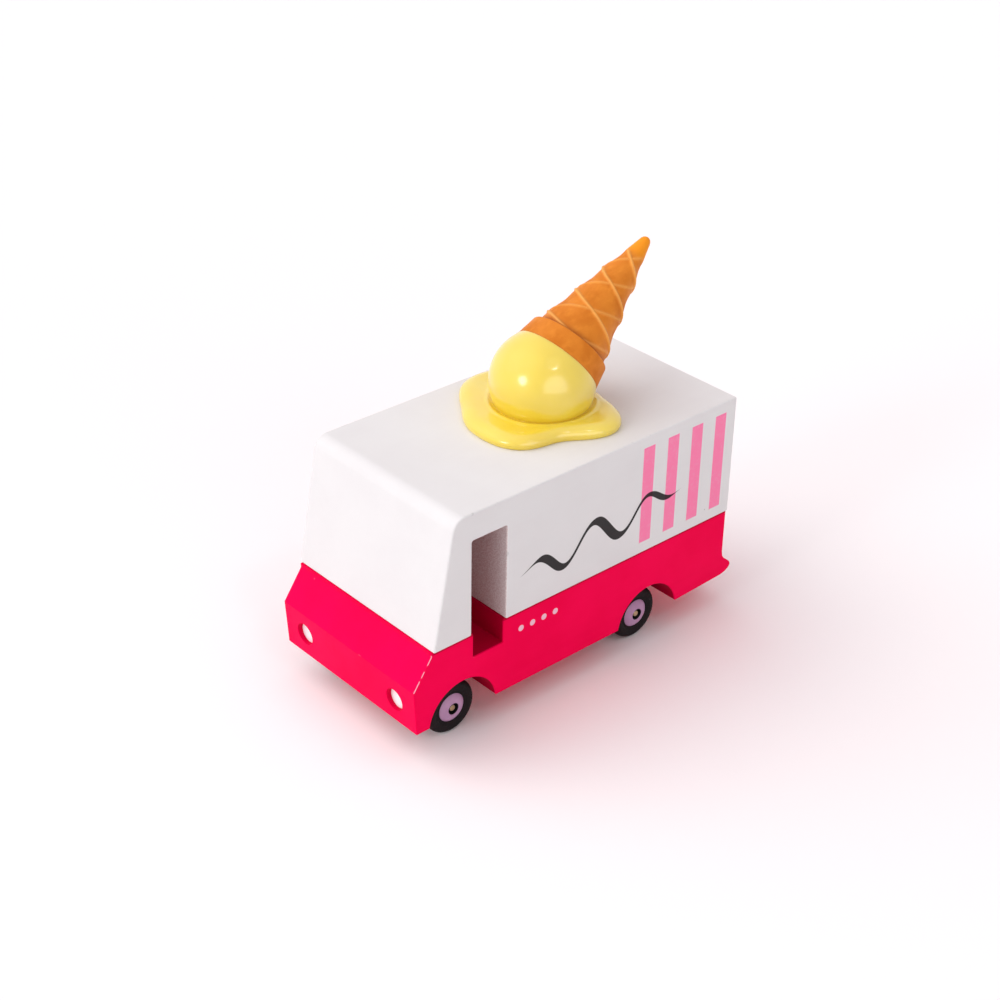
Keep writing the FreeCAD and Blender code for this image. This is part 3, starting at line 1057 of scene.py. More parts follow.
class Turning(Group):
    """A geometry tree that turns a section about X and ends in one finished solid."""

    def __init__(self, name: str, lathe: Tree, around: int, takes: Sequence[Port]) -> None:
        """Starts the tree and turns its section.

        Args:
            name: Name of the tree.
            lathe: Group that turns a section.
            around: Usual number of points round the solid.
            takes: Sockets that go in beside the section, the number of points and the finish.
        """
        ports = (Port("Section", "Geometry"), Port("Around", "Int", around),
                 Port("Finish", "Material"), *takes)
        super().__init__(name, GEOMETRY, ports, (SOLID,))
        section, count, self.finish, *self.sizes = self.takes
        self.shell, point, self.angle = self.group(lathe, {"Section": section, "Around": count})
        self.along, self.radius, _ = self.split(point)

    def close(self, radius: Term) -> Term:
        """Bends the shell round X, welds its seam and its poles, and smooths its shading.

        Args:
            radius: Distance of each point from X.

        Returns:
            The solid.
        """
        sweep = (radius * self.math(kind, self.angle) for kind in ("COSINE", "SINE"))
        feeds = {"Geometry": self.shell, "Position": self.join(self.along, *sweep)}
        shaped = self.out("GeometryNodeSetPosition", feeds)
        feeds = {"Geometry": shaped, "Distance": WELD}
        welded = self.out("GeometryNodeMergeByDistance", feeds)
        return self.out("GeometryNodeSetShadeSmooth", {"Geometry": welded})

    def deliver(self, parts: Term) -> Tree:
        """Makes the parts real, gives them their finish and ends the tree.

        Args:
            parts: The solid, or instances of it.

        Returns:
            The tree.
        """
        real = self.out("GeometryNodeRealizeInstances", {0: parts})
        feeds = {"Geometry": real, "Material": self.finish}
        return self.give(self.out("GeometryNodeSetMaterial", feeds))


def store(w: Wiring, shell: Term, name: str, value: Term, kind: str = "FLOAT") -> Term:
    """Keeps a value of each point under a name."""
    feeds = {0: shell, "Name": name, "Value": value}
    return w.out("GeometryNodeStoreNamedAttribute", feeds, data_type=kind, domain="POINT")


def make_lathe() -> Tree:
    """Turns a row of section points about X, and gives each point's section and angle too.

    Returns:
        The group.
    """
    w = Group("lathe", GEOMETRY, (Port("Section", "Geometry"), Port("Around", "Int")),
              (Port("Shell", "Geometry"), Port("Section Point", "Vector"), Port("Angle")))
    section, around = w.takes
    rows = w.out("GeometryNodeAttributeDomainSize", {0: section}, "Point Count", component="MESH")
    grid = w.out("GeometryNodeMeshGrid", {"Vertices X": around + 1.0, "Vertices Y": rows})
    index = w.out("GeometryNodeInputIndex")
    column = w.math("FLOOR", (index + 0.5) / rows)
    angle = column % around * (2 * math.pi) / around
    place = w.out("GeometryNodeInputPosition")
    feeds = {"Geometry": section, "Value": place, "Index": index % rows}
    point = w.out("GeometryNodeSampleIndex", feeds, data_type="FLOAT_VECTOR", domain="POINT")
    shell = store(w, grid, "section", point, "FLOAT_VECTOR")
    shell = store(w, shell, "angle", angle)
    point, angle = (
        w.out("GeometryNodeInputNamedAttribute", {"Name": name}, data_type=kind)
        for name, kind in (("section", "FLOAT_VECTOR"), ("angle", "FLOAT"))
    )
    return w.give(shell, point, angle)


def make_turned_row(lathe: Tree) -> Tree:
    """Makes a row of like turned parts, each spun on from the one before.

    Args:
        lathe: Group that turns a section.

    Returns:
        The tree.
    """
    w = Turning("turned_row", lathe, 96, (
        Port("Count", "Int", 2), Port("Start", "Vector"), Port("Step", "Vector"),
        Port("First Turn"), Port("Turn Step"),
    ))
    count, start, step, first_turn, turn_step = w.sizes
    feeds = {"Count": count, "Start Location": start, "Offset": step}
    row = w.out("GeometryNodeMeshLine", feeds, mode="OFFSET")
    spin = w.out("GeometryNodeInputIndex") * turn_step + first_turn
    feeds = {"Points": row, "Instance": w.close(w.radius), "Rotation": w.join(0.0, 0.0, spin)}
    return w.deliver(w.out("GeometryNodeInstanceOnPoints", feeds))


@dataclass(frozen=True)
class RidgeFamily:
    """Ridges that wind the same way round the cone."""

    winding: int
    lead: float
    height: float


RIDGES = (RidgeFamily(1, 0.5, 0.55), RidgeFamily(-1, 0.0, 1.0))
RIDGE_MERGE = 0.15

# Lengths along the cone, in metres, over which its relief and its marks fade; the marks carry painted shade and a
# painted glow.
RELIEF_RISE, RELIEF_FALL = 0.4 * MM, 0.9 * MM
FOOT_FADE, COLLAR_FADE = 0.22 * MM, 1.5 * MM
TIP_LEAD, TIP_TRAIL = 1.6 * MM, 0.8 * MM
DRIFT_PER_METRE, DRIFT_SCALE = 110.0, 1.3


def make_waffle(lathe: Tree) -> Tree:
    """Makes a turned cone crossed by ridges that wind both ways, with dished panels between.

    Args:
        lathe: Group that turns a section.

    Returns:
        The tree.
    """
    w = Turning("waffle_relief", lathe, 256, (
        Port("Pitch"), Port("Ridge Start"), Port("Foot"), Port("Low"), Port("High"),
        Port("Ridge Height"), Port("Ridge Width"), Port("Dish"), Port("Wobble"),
    ))
    pitch, start, foot, low, high, height, width, dish, wobble = w.sizes
    along, radius, angle = w.along, w.radius, w.angle
    climb = (along - start) / pitch
    wander = w.join(along * DRIFT_PER_METRE, w.math("COSINE", angle), w.math("SINE", angle))
    drift = (w.noise(wander, DRIFT_SCALE, 1.0) - 0.5) * wobble
    slope = radius * (2 * math.pi) / pitch
    slant = w.math("INVERSE_SQRT", slope * slope + 1.0)
    ridges, bays = [], []
    for family in RIDGES:
        phase = angle / math.pi - (climb * (2.0 * family.winding) + family.lead) + drift
        off = phase - round(phase)
        away = off * (radius * math.pi) * slant / width
        ridges.append(w.math("EXPONENT", away * away * -1.0) * family.height)
        bays.append(w.math("SINE", off * math.pi))
    wall = w.ramp(along, low, low + RELIEF_RISE)
    wall = wall * w.ramp(along, high - RELIEF_FALL, high, 1.0, 0.0)
    ridge = w.math("SMOOTH_MAX", *ridges, RIDGE_MERGE) * wall
    dip = bays[0] * bays[0] * (bays[1] * bays[1]) * wall * dish
    # The gap mark places painted shade above the collar and round the foot, the tip mark a painted glow and the ridge
    # mark also a painted highlight.
    behind = (along > low) * w.ramp(along, low, low + COLLAR_FADE, 1.0, 0.0)
    marks = {
        "ridge": ridge,
        "gap": w.ramp(along, foot, foot + FOOT_FADE, 1.0, 0.0).at_least(behind),
        "tip": w.ramp(along, high - TIP_LEAD, high + TIP_TRAIL),
    }
    for name, value in marks.items():
        w.shell = store(w, w.shell, name, value)
    return w.deliver(w.close(radius + (ridge * height - dip)))


def grow(name: str, tree: Tree, section: Outline, **inputs: object) -> Object:
    """Runs a Geometry Nodes tree on a section and keeps the plain mesh.

    Args:
        name: Name of the object.
        tree: The tree.
        section: Places along the axis and radii, in millimetres.
        inputs: The tree's inputs by name, with _ for spaces.

    Returns:
        The finished object.
    """
    points = [(along * MM, radius * MM, 0.0) for along, radius in section]
    item = mesh_object(name, points, [(i, i + 1) for i in range(len(points) - 1)])
    modifier = item.modifiers.new("grow", "NODES")
    modifier.node_group = tree
    sockets = {s.name: s.identifier for s in tree.interface.items_tree if s.in_out == "INPUT"}
    for key, value in inputs.items():
        modifier[sockets[key.replace("_", " ")]] = value
    settle(item)
    point_outwards(item.data)
    return item


# ---------------------------------------------------------------- the workshop

@dataclass(frozen=True)
class Workshop:
    """What every sub-assembly needs: the ruler, the effects, the trees and the CAD nodes."""

    ruler: Ruler
    effects: Effects
    turned_row: Tree
    waffle: Tree
    nodes: dict[str, Object]

    def mount(self, piece: Object, body: str, slot: str, *stands_for: str) -> None:
        """Hands a finished piece over to the frame.

        Args:
            piece: The piece.
            body: CAD body that it moves with.
            slot: Material slot of the record that it takes its finish from.
            stands_for: CAD nodes that it replaces.
        """
        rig.ride(piece, body)
        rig.slot(piece, slot)
        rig.replaces(piece, *stands_for)
        piece.data.calc_loop_triangles()
        LOG.info("%s rides on %s: %d triangles", piece.name, body, len(piece.data.loop_triangles))

    def dress(self, node: str, finish: Material) -> None:
        """Gives a CAD node that stays in view its finish.

        Args:
            node: The node.
            finish: Its material.
        """
        mesh = self.nodes[node].data
        mesh.materials.clear()
        mesh.materials.append(finish)
        LOG.info("%s keeps its shape and gets %s", node, finish.name)


@dataclass(frozen=True)
class LowerBlock:
    """Red block: raked nose, brow under the white block, bumper lip, arches, step, lamp holes."""

    half_width: float = 18.7
    side: tuple[Pair, ...] = (
        (0.6, 6.3), (57.1, 6.3), (77.4, 7.1), (78.7, 7.4), (79.5, 7.85), (79.92, 8.3),
        (80.0, 8.75), (79.8, 9.25), (79.1, 9.9), (78.2, 10.6), (77.6, 11.4), (77.4, 12.4),
        (77.4, 22.0), (4.0, 22.0), (4.0, 21.2), (0.0, 15.4),
    )
    step: Pair = (13.4, 20.4)
    step_cut: Pair = (16.9, 23.0)
    arch_radius: float = 7.7
    arch_web: float = 9.5
    lamp_radius: float = 2.15
    lamp_mouth: float = -5.0
    easing: float = 0.3

    def bores(self, ruler: Ruler) -> list[Object]:
        """Places the drills for the arches and the lamp holes.

        Args:
            ruler: The truck's ruler.

        Returns:
            The drills.
        """
        arches = [
            ruler.drill((side.value * self.arch_web, axle.value, AXLE_UP),
                        (side.value * PAST_THE_SIDE, axle.value, AXLE_UP),
                        self.arch_radius, sides=128)
            for axle in Axle for side in Side
        ]
        lamps = [
            ruler.drill((side.value * LAMP_ACROSS, self.lamp_mouth, LAMP_UP),
                        (side.value * LAMP_ACROSS, LAMP_FLOOR, LAMP_UP),
                        self.lamp_radius, sides=64)
            for side in Side
        ]
        return arches + lamps

    def build(self, shop: Workshop) -> None:
        """Cuts the block, eases its edges and mounts it, and dresses the axle blocks to match.

        Args:
            shop: The workshop.
        """
        block = shop.ruler.prism("red_block", list(self.side), self.half_width)
        carve(block, [shop.ruler.saw(self.step, self.step_cut), *self.bores(shop.ruler)])
        ease_edges(block, self.easing)
        block.data.materials.append(RedPaint().make(shop.effects))
        shop.mount(block, BODY, "red_block", "body_lower")
        plain = RedPaint().make(shop.effects, "red_axle_block_paint", dotted=False)
        for axle in Axle:
            shop.dress(f"{axle.name.lower()}_axle_block", plain)


@dataclass(frozen=True)
class UpperBlock:
    """White block: raked windscreen that rolls over into the roof, and the sawn doorway."""

    half_width: float = 19.15
    foot: Pair = (4.25, 22.0)
    tail: float = 77.4
    head_along: float = 8.85
    roll: float = 2.8
    door: Pair = (12.7, 20.6)
    door_cut: Pair = (20.0, 41.2)
    easing: float = 0.35

    def outline(self) -> Outline:
        """Draws the side view, with the roll between windscreen and roof.

        Returns:
            Its corners.
        """
        rake = math.atan2(ROOF_UP - self.foot[1], self.head_along - self.foot[0])
        cut_back = self.roll * math.tan(rake / 2)
        centre = (self.head_along + cut_back, ROOF_UP - self.roll)
        roll = arc(centre, self.roll, math.degrees(rake) + 90, 90, steps=16)
        return [self.foot, *roll, (self.tail, ROOF_UP), (self.tail, self.foot[1])]

    def build(self, shop: Workshop) -> None:
        """Cuts the block, eases its edges and mounts it.

        Args:
            shop: The workshop.
        """
        block = shop.ruler.prism("white_block", self.outline(), self.half_width)
        carve(block, [shop.ruler.saw(self.door, self.door_cut)])
        ease_edges(block, self.easing)
        block.data.materials.append(PrintedPaint().make(shop.effects))
        shop.mount(block, BODY, "white_block", "body_upper")


@dataclass(frozen=True)
class Headlights:
    """Low white domes at the bottom of the lamp holes."""

    radius: float = 2.12
    back: float = -0.05
    front: float = 0.75
    edge: float = 0.14
    easing: float = 0.1
    dome: tuple[Pair, ...] = ((0.02, 0.6), (0.05, 0.3), (0.06, 0.0))
    paint: Moulding = Moulding(
        "lamp_white_paint", shade("FFFCFD"), shade("FBF5F8"), 0.35, 0.5, 0.4, depth=0.00002)

    def section(self) -> Outline:
        """Draws half of a dome.

        Returns:
            Its section, from the middle of the back to the middle of the front.
        """
        wall, ease, radius = self.front - self.edge, self.easing, self.radius
        return [
            (self.back, 0.0), (self.back, radius), (wall, radius),
            *arc((wall, radius - ease), ease, 90, 10, 4),
            *((self.front + rise, radius * share) for rise, share in self.dome),
        ]

    def build(self, shop: Workshop) -> None:
        """Turns both domes and mounts them.

        Args:
            shop: The workshop.
        """
        lamps = grow(
            "headlights", shop.turned_row, self.section(), Around=64, Count=2,
            Start=shop.ruler.at(-LAMP_ACROSS, LAMP_FLOOR, LAMP_UP),
            Step=(2 * LAMP_ACROSS * MM, 0.0, 0.0), First_Turn=-math.pi / 2, Turn_Step=0.0,
            Finish=self.paint.make(shop.effects),
        )
        shop.mount(lamps, BODY, "headlight", *(f"headlight_{side.name.lower()}" for side in Side))


@dataclass(frozen=True)
class Wheelset:
    """One axle: its pin and two wheels, each a tyre round a domed hub round a black bush."""

    axle: Axle
    radius: float = AXLE_UP
    shoulder: float = 0.95
    inner_shoulder: float = 0.6
    bead_ring: tuple[Pair, ...] = (
        (0.2, 0.0), (0.06, 0.05), (0.02, 0.3), (0.12, 0.42), (0.12, 0.5), (0.01, 0.62),
    )
    hub_radius: float = 2.85
    inner: float = 11.0
    outer: float = 15.6
    rim: float = 15.45
    crown: float = 16.1
    dome: float = 2.2
    hub_lip: float = 0.12
    hub_edge: float = 0.08
    bush_radius: float = 1.15
    bush_end: float = 15.2
    bush_wall: float = 0.14
    bush_sunk: float = 0.1
    pin_radius: float = 0.6
    pin_end: float = 15.8
    pin_ease: float = 0.16

    def tyre(self) -> Outline:
        """Draws a tyre, with rounded shoulders and a shallow ring moulded round the hub.

        Returns:
            Its closed section.
        """
        inner, outer, rim, bead = self.inner, self.outer, self.radius, self.hub_radius
        section = [
            (inner, bead), *((outer - sunk, bead + up) for sunk, up in self.bead_ring),
            *arc((outer - self.shoulder, rim - self.shoulder), self.shoulder, 0, 90, 10),
            *arc((inner + self.inner_shoulder, rim - self.inner_shoulder), self.inner_shoulder,
                 90, 180, 6),
        ]
        return section + section[:1]

    def hub(self) -> Outline:
        """Draws a hub: a low dome with a fine lip round its hole.

        Returns:
            Its closed section.
        """
        hole, bead, crown = self.bush_radius, self.hub_radius, self.crown
        rise = crown - self.rim
        lip, edge = self.hub_lip, self.hub_edge
        section = [
            (self.inner, hole), (crown - lip, hole), (crown - 0.03, hole + 0.04),
            (crown, hole + lip),
            *((self.rim + rise * (1 - share ** self.dome), hole + lip + (bead - hole - 0.2) * share)
              for share in (0.2, 0.35, 0.5, 0.65, 0.8, 0.92, 1.0)),
            (self.rim - edge, bead), (self.inner, bead),
        ]
        return section + section[:1]

    def bush(self) -> Outline:
        """Draws a bush: a cup that lines the hub's hole.

        Returns:
            Its closed section.
        """
        floor, lip = self.bush_end, self.crown - self.bush_sunk
        wall = self.bush_radius - self.bush_wall
        section = [
            (self.inner, self.pin_radius), (floor, self.pin_radius), (floor, wall - 0.06),
            (floor + 0.06, wall), (lip - 0.04, wall), (lip, wall + 0.04),
            (lip, self.bush_radius), (self.inner, self.bush_radius),
        ]
        return section + section[:1]

    def pin(self) -> Outline:
        """Draws the pin from end to end, with eased ends.

        Returns:
            Its section.
        """
        end, ease, flat = self.pin_end, self.pin_ease, self.pin_radius - self.pin_ease
        half = [(end, 0.0), (end, flat), *arc((end - ease, flat), ease, 0, 90, 4)]
        return [(-along, radius) for along, radius in half] + half[::-1]

    def build(self, shop: Workshop, finishes: dict[str, Material]) -> None:
        """Turns the parts of this axle and mounts them.

        Args:
            shop: The workshop.
            finishes: Materials for pin, tyre, hub and bush.
        """
        place = self.axle.name.lower()
        common = {
            "Start": shop.ruler.at(0, self.axle.value, self.radius), "Step": (0.0, 0.0, 0.0),
            "First_Turn": 0.0, "Turn_Step": math.pi,
        }
        wheels = {kind: [f"{place}_{side.name.lower()}_{kind}" for side in Side]
                  for kind in ("tyre", "hub", "bush")}
        for piece, kind, slot, section, around, nodes in (
            ("pin", "pin", "axle_pin", self.pin(), 48, [f"{place}_axle"]),
            ("tyres", "tyre", "tyre", self.tyre(), 128, wheels["tyre"]),
            ("hubs", "hub", "hub", self.hub(), 96, wheels["hub"]),
            ("bushs", "bush", "bush", self.bush(), 64, wheels["bush"]),
        ):
            made = grow(f"{place}_{piece}", shop.turned_row, section, Around=around,
                        Count=len(nodes), Finish=finishes[kind], **common)
            shop.mount(made, f"{place}_wheelset", slot, *nodes)


@dataclass(frozen=True)
class Dent:
    """Shallow hollow in the ball: the way to its middle, its breadth and its depth."""

    way: Place
    breadth: float
    depth: float


@dataclass(frozen=True)
class Scoop:
    """Ball of ice cream and the pool that it has melted into."""

    ball_along: float = 45.7
    ball_up: float = 52.8
    ball_radius: float = 9.85
    ball_ripple: float = 0.05
    ball_ripple_scale: float = 1.7
    ball_ripple_seed: Place = (3.1, 0.4, 7.7)
    sunk: float = 1.6
    crease_height: float = 2.7
    pool_height: float = 2.3
    belly: float = 0.8
    rim: float = 2.7
    undercut: float = 0.3
    seam_radius: float = 9.2
    fold: float = 0.12
    lip: float = 0.16
    lip_from: float = 0.75
    fold_width: float = 0.4
    # Breadth of the painted shade round the ball's foot.
    crease_shade_width: float = 0.5
    pool_ripple: float = 0.06
    pool_ripple_scale: float = 320.0
    still_rings: int = 10
    lobes: int = 6
    around: int = 320
    under_steps: int = 5
    under_degrees: float = 10.0
    under_inset: float = 0.357
    under_drop: float = 0.766
    over_steps: int = 12
    over_degrees: float = 7.5
    swell_steps: int = 18
    dents: tuple[Dent, ...] = (
        Dent((0.03, -0.80, 0.62), 1.3, 0.10), Dent((0.24, -0.66, 0.71), 1.6, 0.09),
        Dent((0.60, -0.33, 0.72), 1.1, 0.10), Dent((-0.35, -0.75, 0.55), 1.8, 0.08),
        Dent((0.75, -0.60, 0.10), 2.4, 0.07), Dent((-0.80, 0.20, 0.50), 2.0, 0.10),
        Dent((0.55, 0.60, 0.20), 2.2, 0.10), Dent((-0.60, -0.60, -0.10), 2.2, 0.08),
    )

    def build(self, shop: Workshop, cone: "WaffleCone") -> None:
        """Shapes the ball and the pool and mounts them.

        Args:
            shop: The workshop.
            cone: The cone that covers the top of the ball.
        """
        centre = shop.ruler.at(0, self.ball_along, self.ball_up)
        ball = self.ball(centre, cone.way(), cone.collar_foot)
        ball.data.materials.append(IceCream().make(shop.effects, "ice_cream_ball_gloss"))
        shop.mount(ball, BODY, "ice_cream_ball", "ice_cream_ball")
        pool = self.pool(shop.nodes["melted_pool"], centre)
        melted = IceCream(pale=shade("F3DA42"), body=shade("EDCE2E"))
        pool.data.materials.append(melted.make(shop.effects, "melted_pool_gloss"))
        shop.mount(pool, BODY, "melted_pool", "melted_pool")

    def ball(self, centre: Vector, axis: Vector, collar: float) -> Object:
        """Makes the ball: a sphere with a few shallow dents, flattened where it sits in the pool.

        Args:
            centre: Middle of the ball.
            axis: Way that the cone points.
            collar: Place of the cone's foot along that way, in millimetres from the middle.

        Returns:
            The ball.
        """
        radius, crease = self.ball_radius * MM, (ROOF_UP + self.crease_height) * MM
        hollows = [(Vector(d.way).normalized(), d.breadth * MM, d.depth * MM) for d in self.dents]
        seed = Vector(self.ball_ripple_seed)
        ball = mesh_object("scoop_ball")
        with reshaping(ball.data) as work:
            bmesh.ops.create_icosphere(work, subdivisions=6, radius=1.0)
            for vert in work.verts:
                out = vert.co.normalized()
                depth = sum(deep * math.exp(-((out - way).length * radius / wide) ** 2)
                            for way, wide, deep in hollows)
                ripple = 0.5 + 0.5 * noise.noise(out * self.ball_ripple_scale + seed)
                vert.co = centre + out * (radius - (depth + self.ball_ripple * MM * ripple))
                vert.co.z = max(vert.co.z, crease - self.sunk * MM)
        ball.data.shade_smooth()
        places = np.array([v.co[:] for v in ball.data.vertices])
        # Painted shade: the crease mark darkens the ball's foot in the pool and the band under the cone's collar.
        foot = np.clip(1 - (places[:, 2] - crease + 0.1 * MM) / (0.4 * MM), 0, 1) ** 2
        rise = (places - np.array(centre)) @ np.array(axis) / MM
        under_cone = np.clip(1 - (collar - rise) / 0.4, 0, 1) ** 1.5
        keep_mark(ball.data, "crease", "POINT", np.maximum(foot, under_cone))
        return ball

    def outline(self, node: Object) -> np.ndarray:
        """Reads the pool's outline on the roof and spaces it evenly by direction.

        Args:
            node: CAD node of the pool.

        Returns:
            Points of the smoothed outline.
        """
        points = np.array([v.co[:] for v in node.data.vertices])
        foot = points[points[:, 2] < points[:, 2].min() + 1e-5][:, :2]
        middle = (foot.min(0) + foot.max(0)) / 2
        away = foot - middle
        angle = np.arctan2(away[:, 1], away[:, 0])
        order = np.argsort(angle)
        spread = np.linalg.norm(away, axis=1)[order]
        steps = np.linspace(-math.pi, math.pi, self.around, endpoint=False)
        waves = np.fft.rfft(np.interp(steps, angle[order], spread, period=2 * math.pi))
        waves[self.lobes + 1:] = 0
        radius = np.fft.irfft(waves, self.around)
        return middle + np.stack([np.cos(steps), np.sin(steps)], 1) * radius[:, None]

    def rings(self, edge: np.ndarray, middle: np.ndarray) -> list[np.ndarray]:
        """Lays rings of points from the roof round the rim and up to the ball.

        Args:
            edge: Outline of the pool.
            middle: Place under the middle of the ball.

        Returns:
            The rings, each with as many points as the outline.
        """
        outward = edge - middle
        reach = np.linalg.norm(outward, axis=1)
        way = outward / reach[:, None]
        room = reach / MM - self.seam_radius
        rim = np.minimum(self.rim, room * 0.9)
        swell = self.crease_height - self.pool_height
        lift = self.pool_height + swell * np.exp(-np.maximum(room - self.rim, 0) / 4)
        rings = []

        def lay(place: np.ndarray, height: float | np.ndarray) -> None:
            """Adds a ring at its heights above the roof."""
            up = np.broadcast_to(height, reach.shape) * MM + ROOF_UP * MM
            rings.append(np.column_stack([place, up]))

        for step in range(-self.under_steps, self.over_steps + 1):
            turn = math.radians(step * (self.under_degrees if step < 0 else self.over_degrees))
            if step < 0:
                inset = (1 - math.cos(turn)) * self.undercut / self.under_inset
                height = self.belly * (1 + math.sin(turn) / self.under_drop)
            else:
                inset = (1 - math.cos(turn)) * rim
                height = self.belly + (lift - self.belly) * math.sin(turn)
            lay(edge - way * np.broadcast_to(inset, reach.shape)[:, None] * MM, height)
        top, seam = rings[-1][:, :2], middle + way * (self.seam_radius - 0.5) * MM
        for step in range(1, self.swell_steps + 1):
            share = 1 - (1 - step / self.swell_steps) ** 1.5
            place = top * (1 - share) + seam * share
            gap = np.linalg.norm(place - middle, axis=1) / MM - self.seam_radius
            rise = lift + (self.crease_height - lift) * share ** 2
            rise += self.lip * np.exp(-((gap - self.lip_from) / self.fold_width) ** 2)
            fold = np.exp(-(np.maximum(gap, 0) / self.fold_width) ** 2)
            lay(place, rise - self.fold * fold)
        return rings

    def pool(self, node: Object, centre: Vector) -> Object:
        """Makes the pool: a half-round rim on the CAD outline, swelling up to the ball.

        Args:
            node: CAD node of the pool.
            centre: Middle of the ball.

        Returns:
            The pool.
        """
        middle, span = np.array(centre[:2]), self.around
        rings = self.rings(self.outline(node), middle)
        points, last = np.concatenate(rings), (len(rings) - 1) * span
        waves = np.array([noise.noise(Vector(p) * self.pool_ripple_scale) for p in points])
        waves, top = waves * self.pool_ripple * MM, span * self.still_rings
        points[top:, 2] += waves[top:] - self.pool_ripple / 2 * MM
        faces = [
            (row + c, row + (c + 1) % span, row + span + (c + 1) % span, row + span + c)
            for row in range(0, last, span) for c in range(span)
        ]
        faces += [tuple(range(span))[::-1], tuple(range(last, last + span))]
        pool = mesh_object("melted_pool_swell", points, faces=faces)
        point_outwards(pool.data)
        pool.data.shade_smooth()
        places = np.array([v.co[:2] for v in pool.data.vertices])
        gap = np.linalg.norm(places - middle, axis=1) / MM - self.seam_radius
        # Painted shade in the crease round the ball's foot.
        crease_shade = np.exp(-(np.maximum(gap, 0) / self.crease_shade_width) ** 2)
        keep_mark(pool.data, "crease", "POINT", crease_shade)
        return pool


@dataclass(frozen=True)
class WaffleCone:
    """Upturned cone: a plain collar, then a wall crossed by ridges, then a round tip."""

    lean: float = 53.3
    turn: float = 3.0
    ridge_turn: float = 79.0
    collar_foot: float = 4.6
    collar_head: float = 8.6
    collar_ease: float = 0.28
    collar_lip: tuple[Pair, ...] = ((0.0, 0.75), (0.0, 0.14), (0.05, 0.04), (0.14, 0.02))
    groove: tuple[Pair, ...] = ((0.0, 0.12), (-0.12, 0.02))
    wall_gap: float = 0.05
    relief_gap: float = 0.02
    foot_radius: float = 8.7
    head_radius: float = 8.0
    length: float = 33.7
    tip_radius: float = 1.05
    tip_share: float = 0.965
    half_angle: float = 14.25
    pitch: float = 13.0
    ridge_start: float = 6.5
    ridge_end: float = 29.6
    ridge_height: float = 0.36
    ridge_width: float = 0.29
    dish: float = 0.19
    wobble: float = 0.05
    around: int = 264
    collar_rows: int = 12
    rows: int = 200
    tip_rows: int = 10

    def way(self) -> Vector:
        """Works out the way that the cone points.

        Returns:
            A step of one in that direction.
        """
        turn, lean = math.radians(self.turn), math.radians(self.lean)
        out = math.sin(lean)
        return Vector((-math.sin(turn) * out, math.cos(turn) * out, math.cos(lean)))

    def wall(self, along: float) -> float:
        """Radius of the bare wall at a place along the axis."""
        lean, pole = math.radians(self.half_angle), self.length - self.tip_radius
        return (self.tip_radius + (pole - along) * math.sin(lean)) / math.cos(lean)

    def section(self) -> Outline:
        """Draws the cone from the middle of the collar's foot to the middle of the tip.

        Returns:
            Its section.
        """
        foot, head, ease = self.collar_foot, self.collar_head, self.collar_ease
        radius, taper = self.foot_radius, self.head_radius - self.foot_radius
        lean = math.radians(self.half_angle)
        points = [(foot, 0.0), *((foot + rise, radius - inset) for rise, inset in self.collar_lip)]
        shares = [step / self.collar_rows for step in range(1, self.collar_rows)]
        points += [(foot + (head - foot - ease) * s, radius + taper * s) for s in shares]
        points += arc((head - ease, self.head_radius - ease), ease, 90, 0, 6)
        points += [(head + rise, self.wall(head) + gap) for rise, gap in self.groove]
        pole, tip = self.length - self.tip_radius, self.tip_share * self.tip_radius
        first, last = head + self.wall_gap, pole + self.tip_radius * math.sin(lean)
        places = [first + (last - first) * i / self.rows for i in range(self.rows + 1)]
        points += [(place, self.wall(place)) for place in places]
        rises = [lean + (math.pi / 2 - lean) * step / self.tip_rows
                 for step in range(1, self.tip_rows + 1)]
        return points + [(pole + tip * math.sin(up), max(tip * math.cos(up), 0.0)) for up in rises]

    def build(self, shop: Workshop, ball: Scoop) -> None:
        """Grows the cone upright, tips it over the ball and mounts it.

        Args:
            shop: The workshop.
            ball: The scoop that the cone sits on.
        """
        sizes = {
            "Pitch": self.pitch, "Ridge_Start": self.ridge_start, "Foot": self.collar_foot,
            "Low": self.collar_head + self.relief_gap, "High": self.ridge_end,
            "Ridge_Height": self.ridge_height, "Ridge_Width": self.ridge_width, "Dish": self.dish,
        }
        cone = grow(
            "upturned_cone", shop.waffle, self.section(), Around=self.around, Wobble=self.wobble,
            Finish=WaferPlastic().make(shop.effects),
            **{name: size * MM for name, size in sizes.items()},
        )
        stand = turned(-90, "Y") @ turned(180, "X")
        tip = turned(self.turn, "Z") @ turned(-self.lean, "X")
        centre = Matrix.Translation(shop.ruler.at(0, ball.ball_along, ball.ball_up))
        cone.data.transform(centre @ tip @ turned(self.ridge_turn, "Z") @ stand)
        cone.data.shade_smooth()
        shop.mount(cone, BODY, "waffle_cone", "waffle_cone")


# ---------------------------------------------------------------- studio

@dataclass(frozen=True)
class Sun:
    """A broad lamp: its share of full light, its bearing and the degrees that it spans."""

    name: str
    level: float
    azimuth: float
    elevation: float
    width: float


def bearing(azimuth: float, elevation: float) -> Vector:
    """Works out the way to a place in the room.

    Args:
        azimuth: Degrees from the nose towards the truck's left.
        elevation: Degrees above the floor.

    Returns:
        A step of one in that direction.
    """
    turn, rise = math.radians(azimuth), math.radians(elevation)
    out = math.cos(rise)
    return Vector((math.sin(turn) * out, -math.cos(turn) * out, math.sin(rise)))


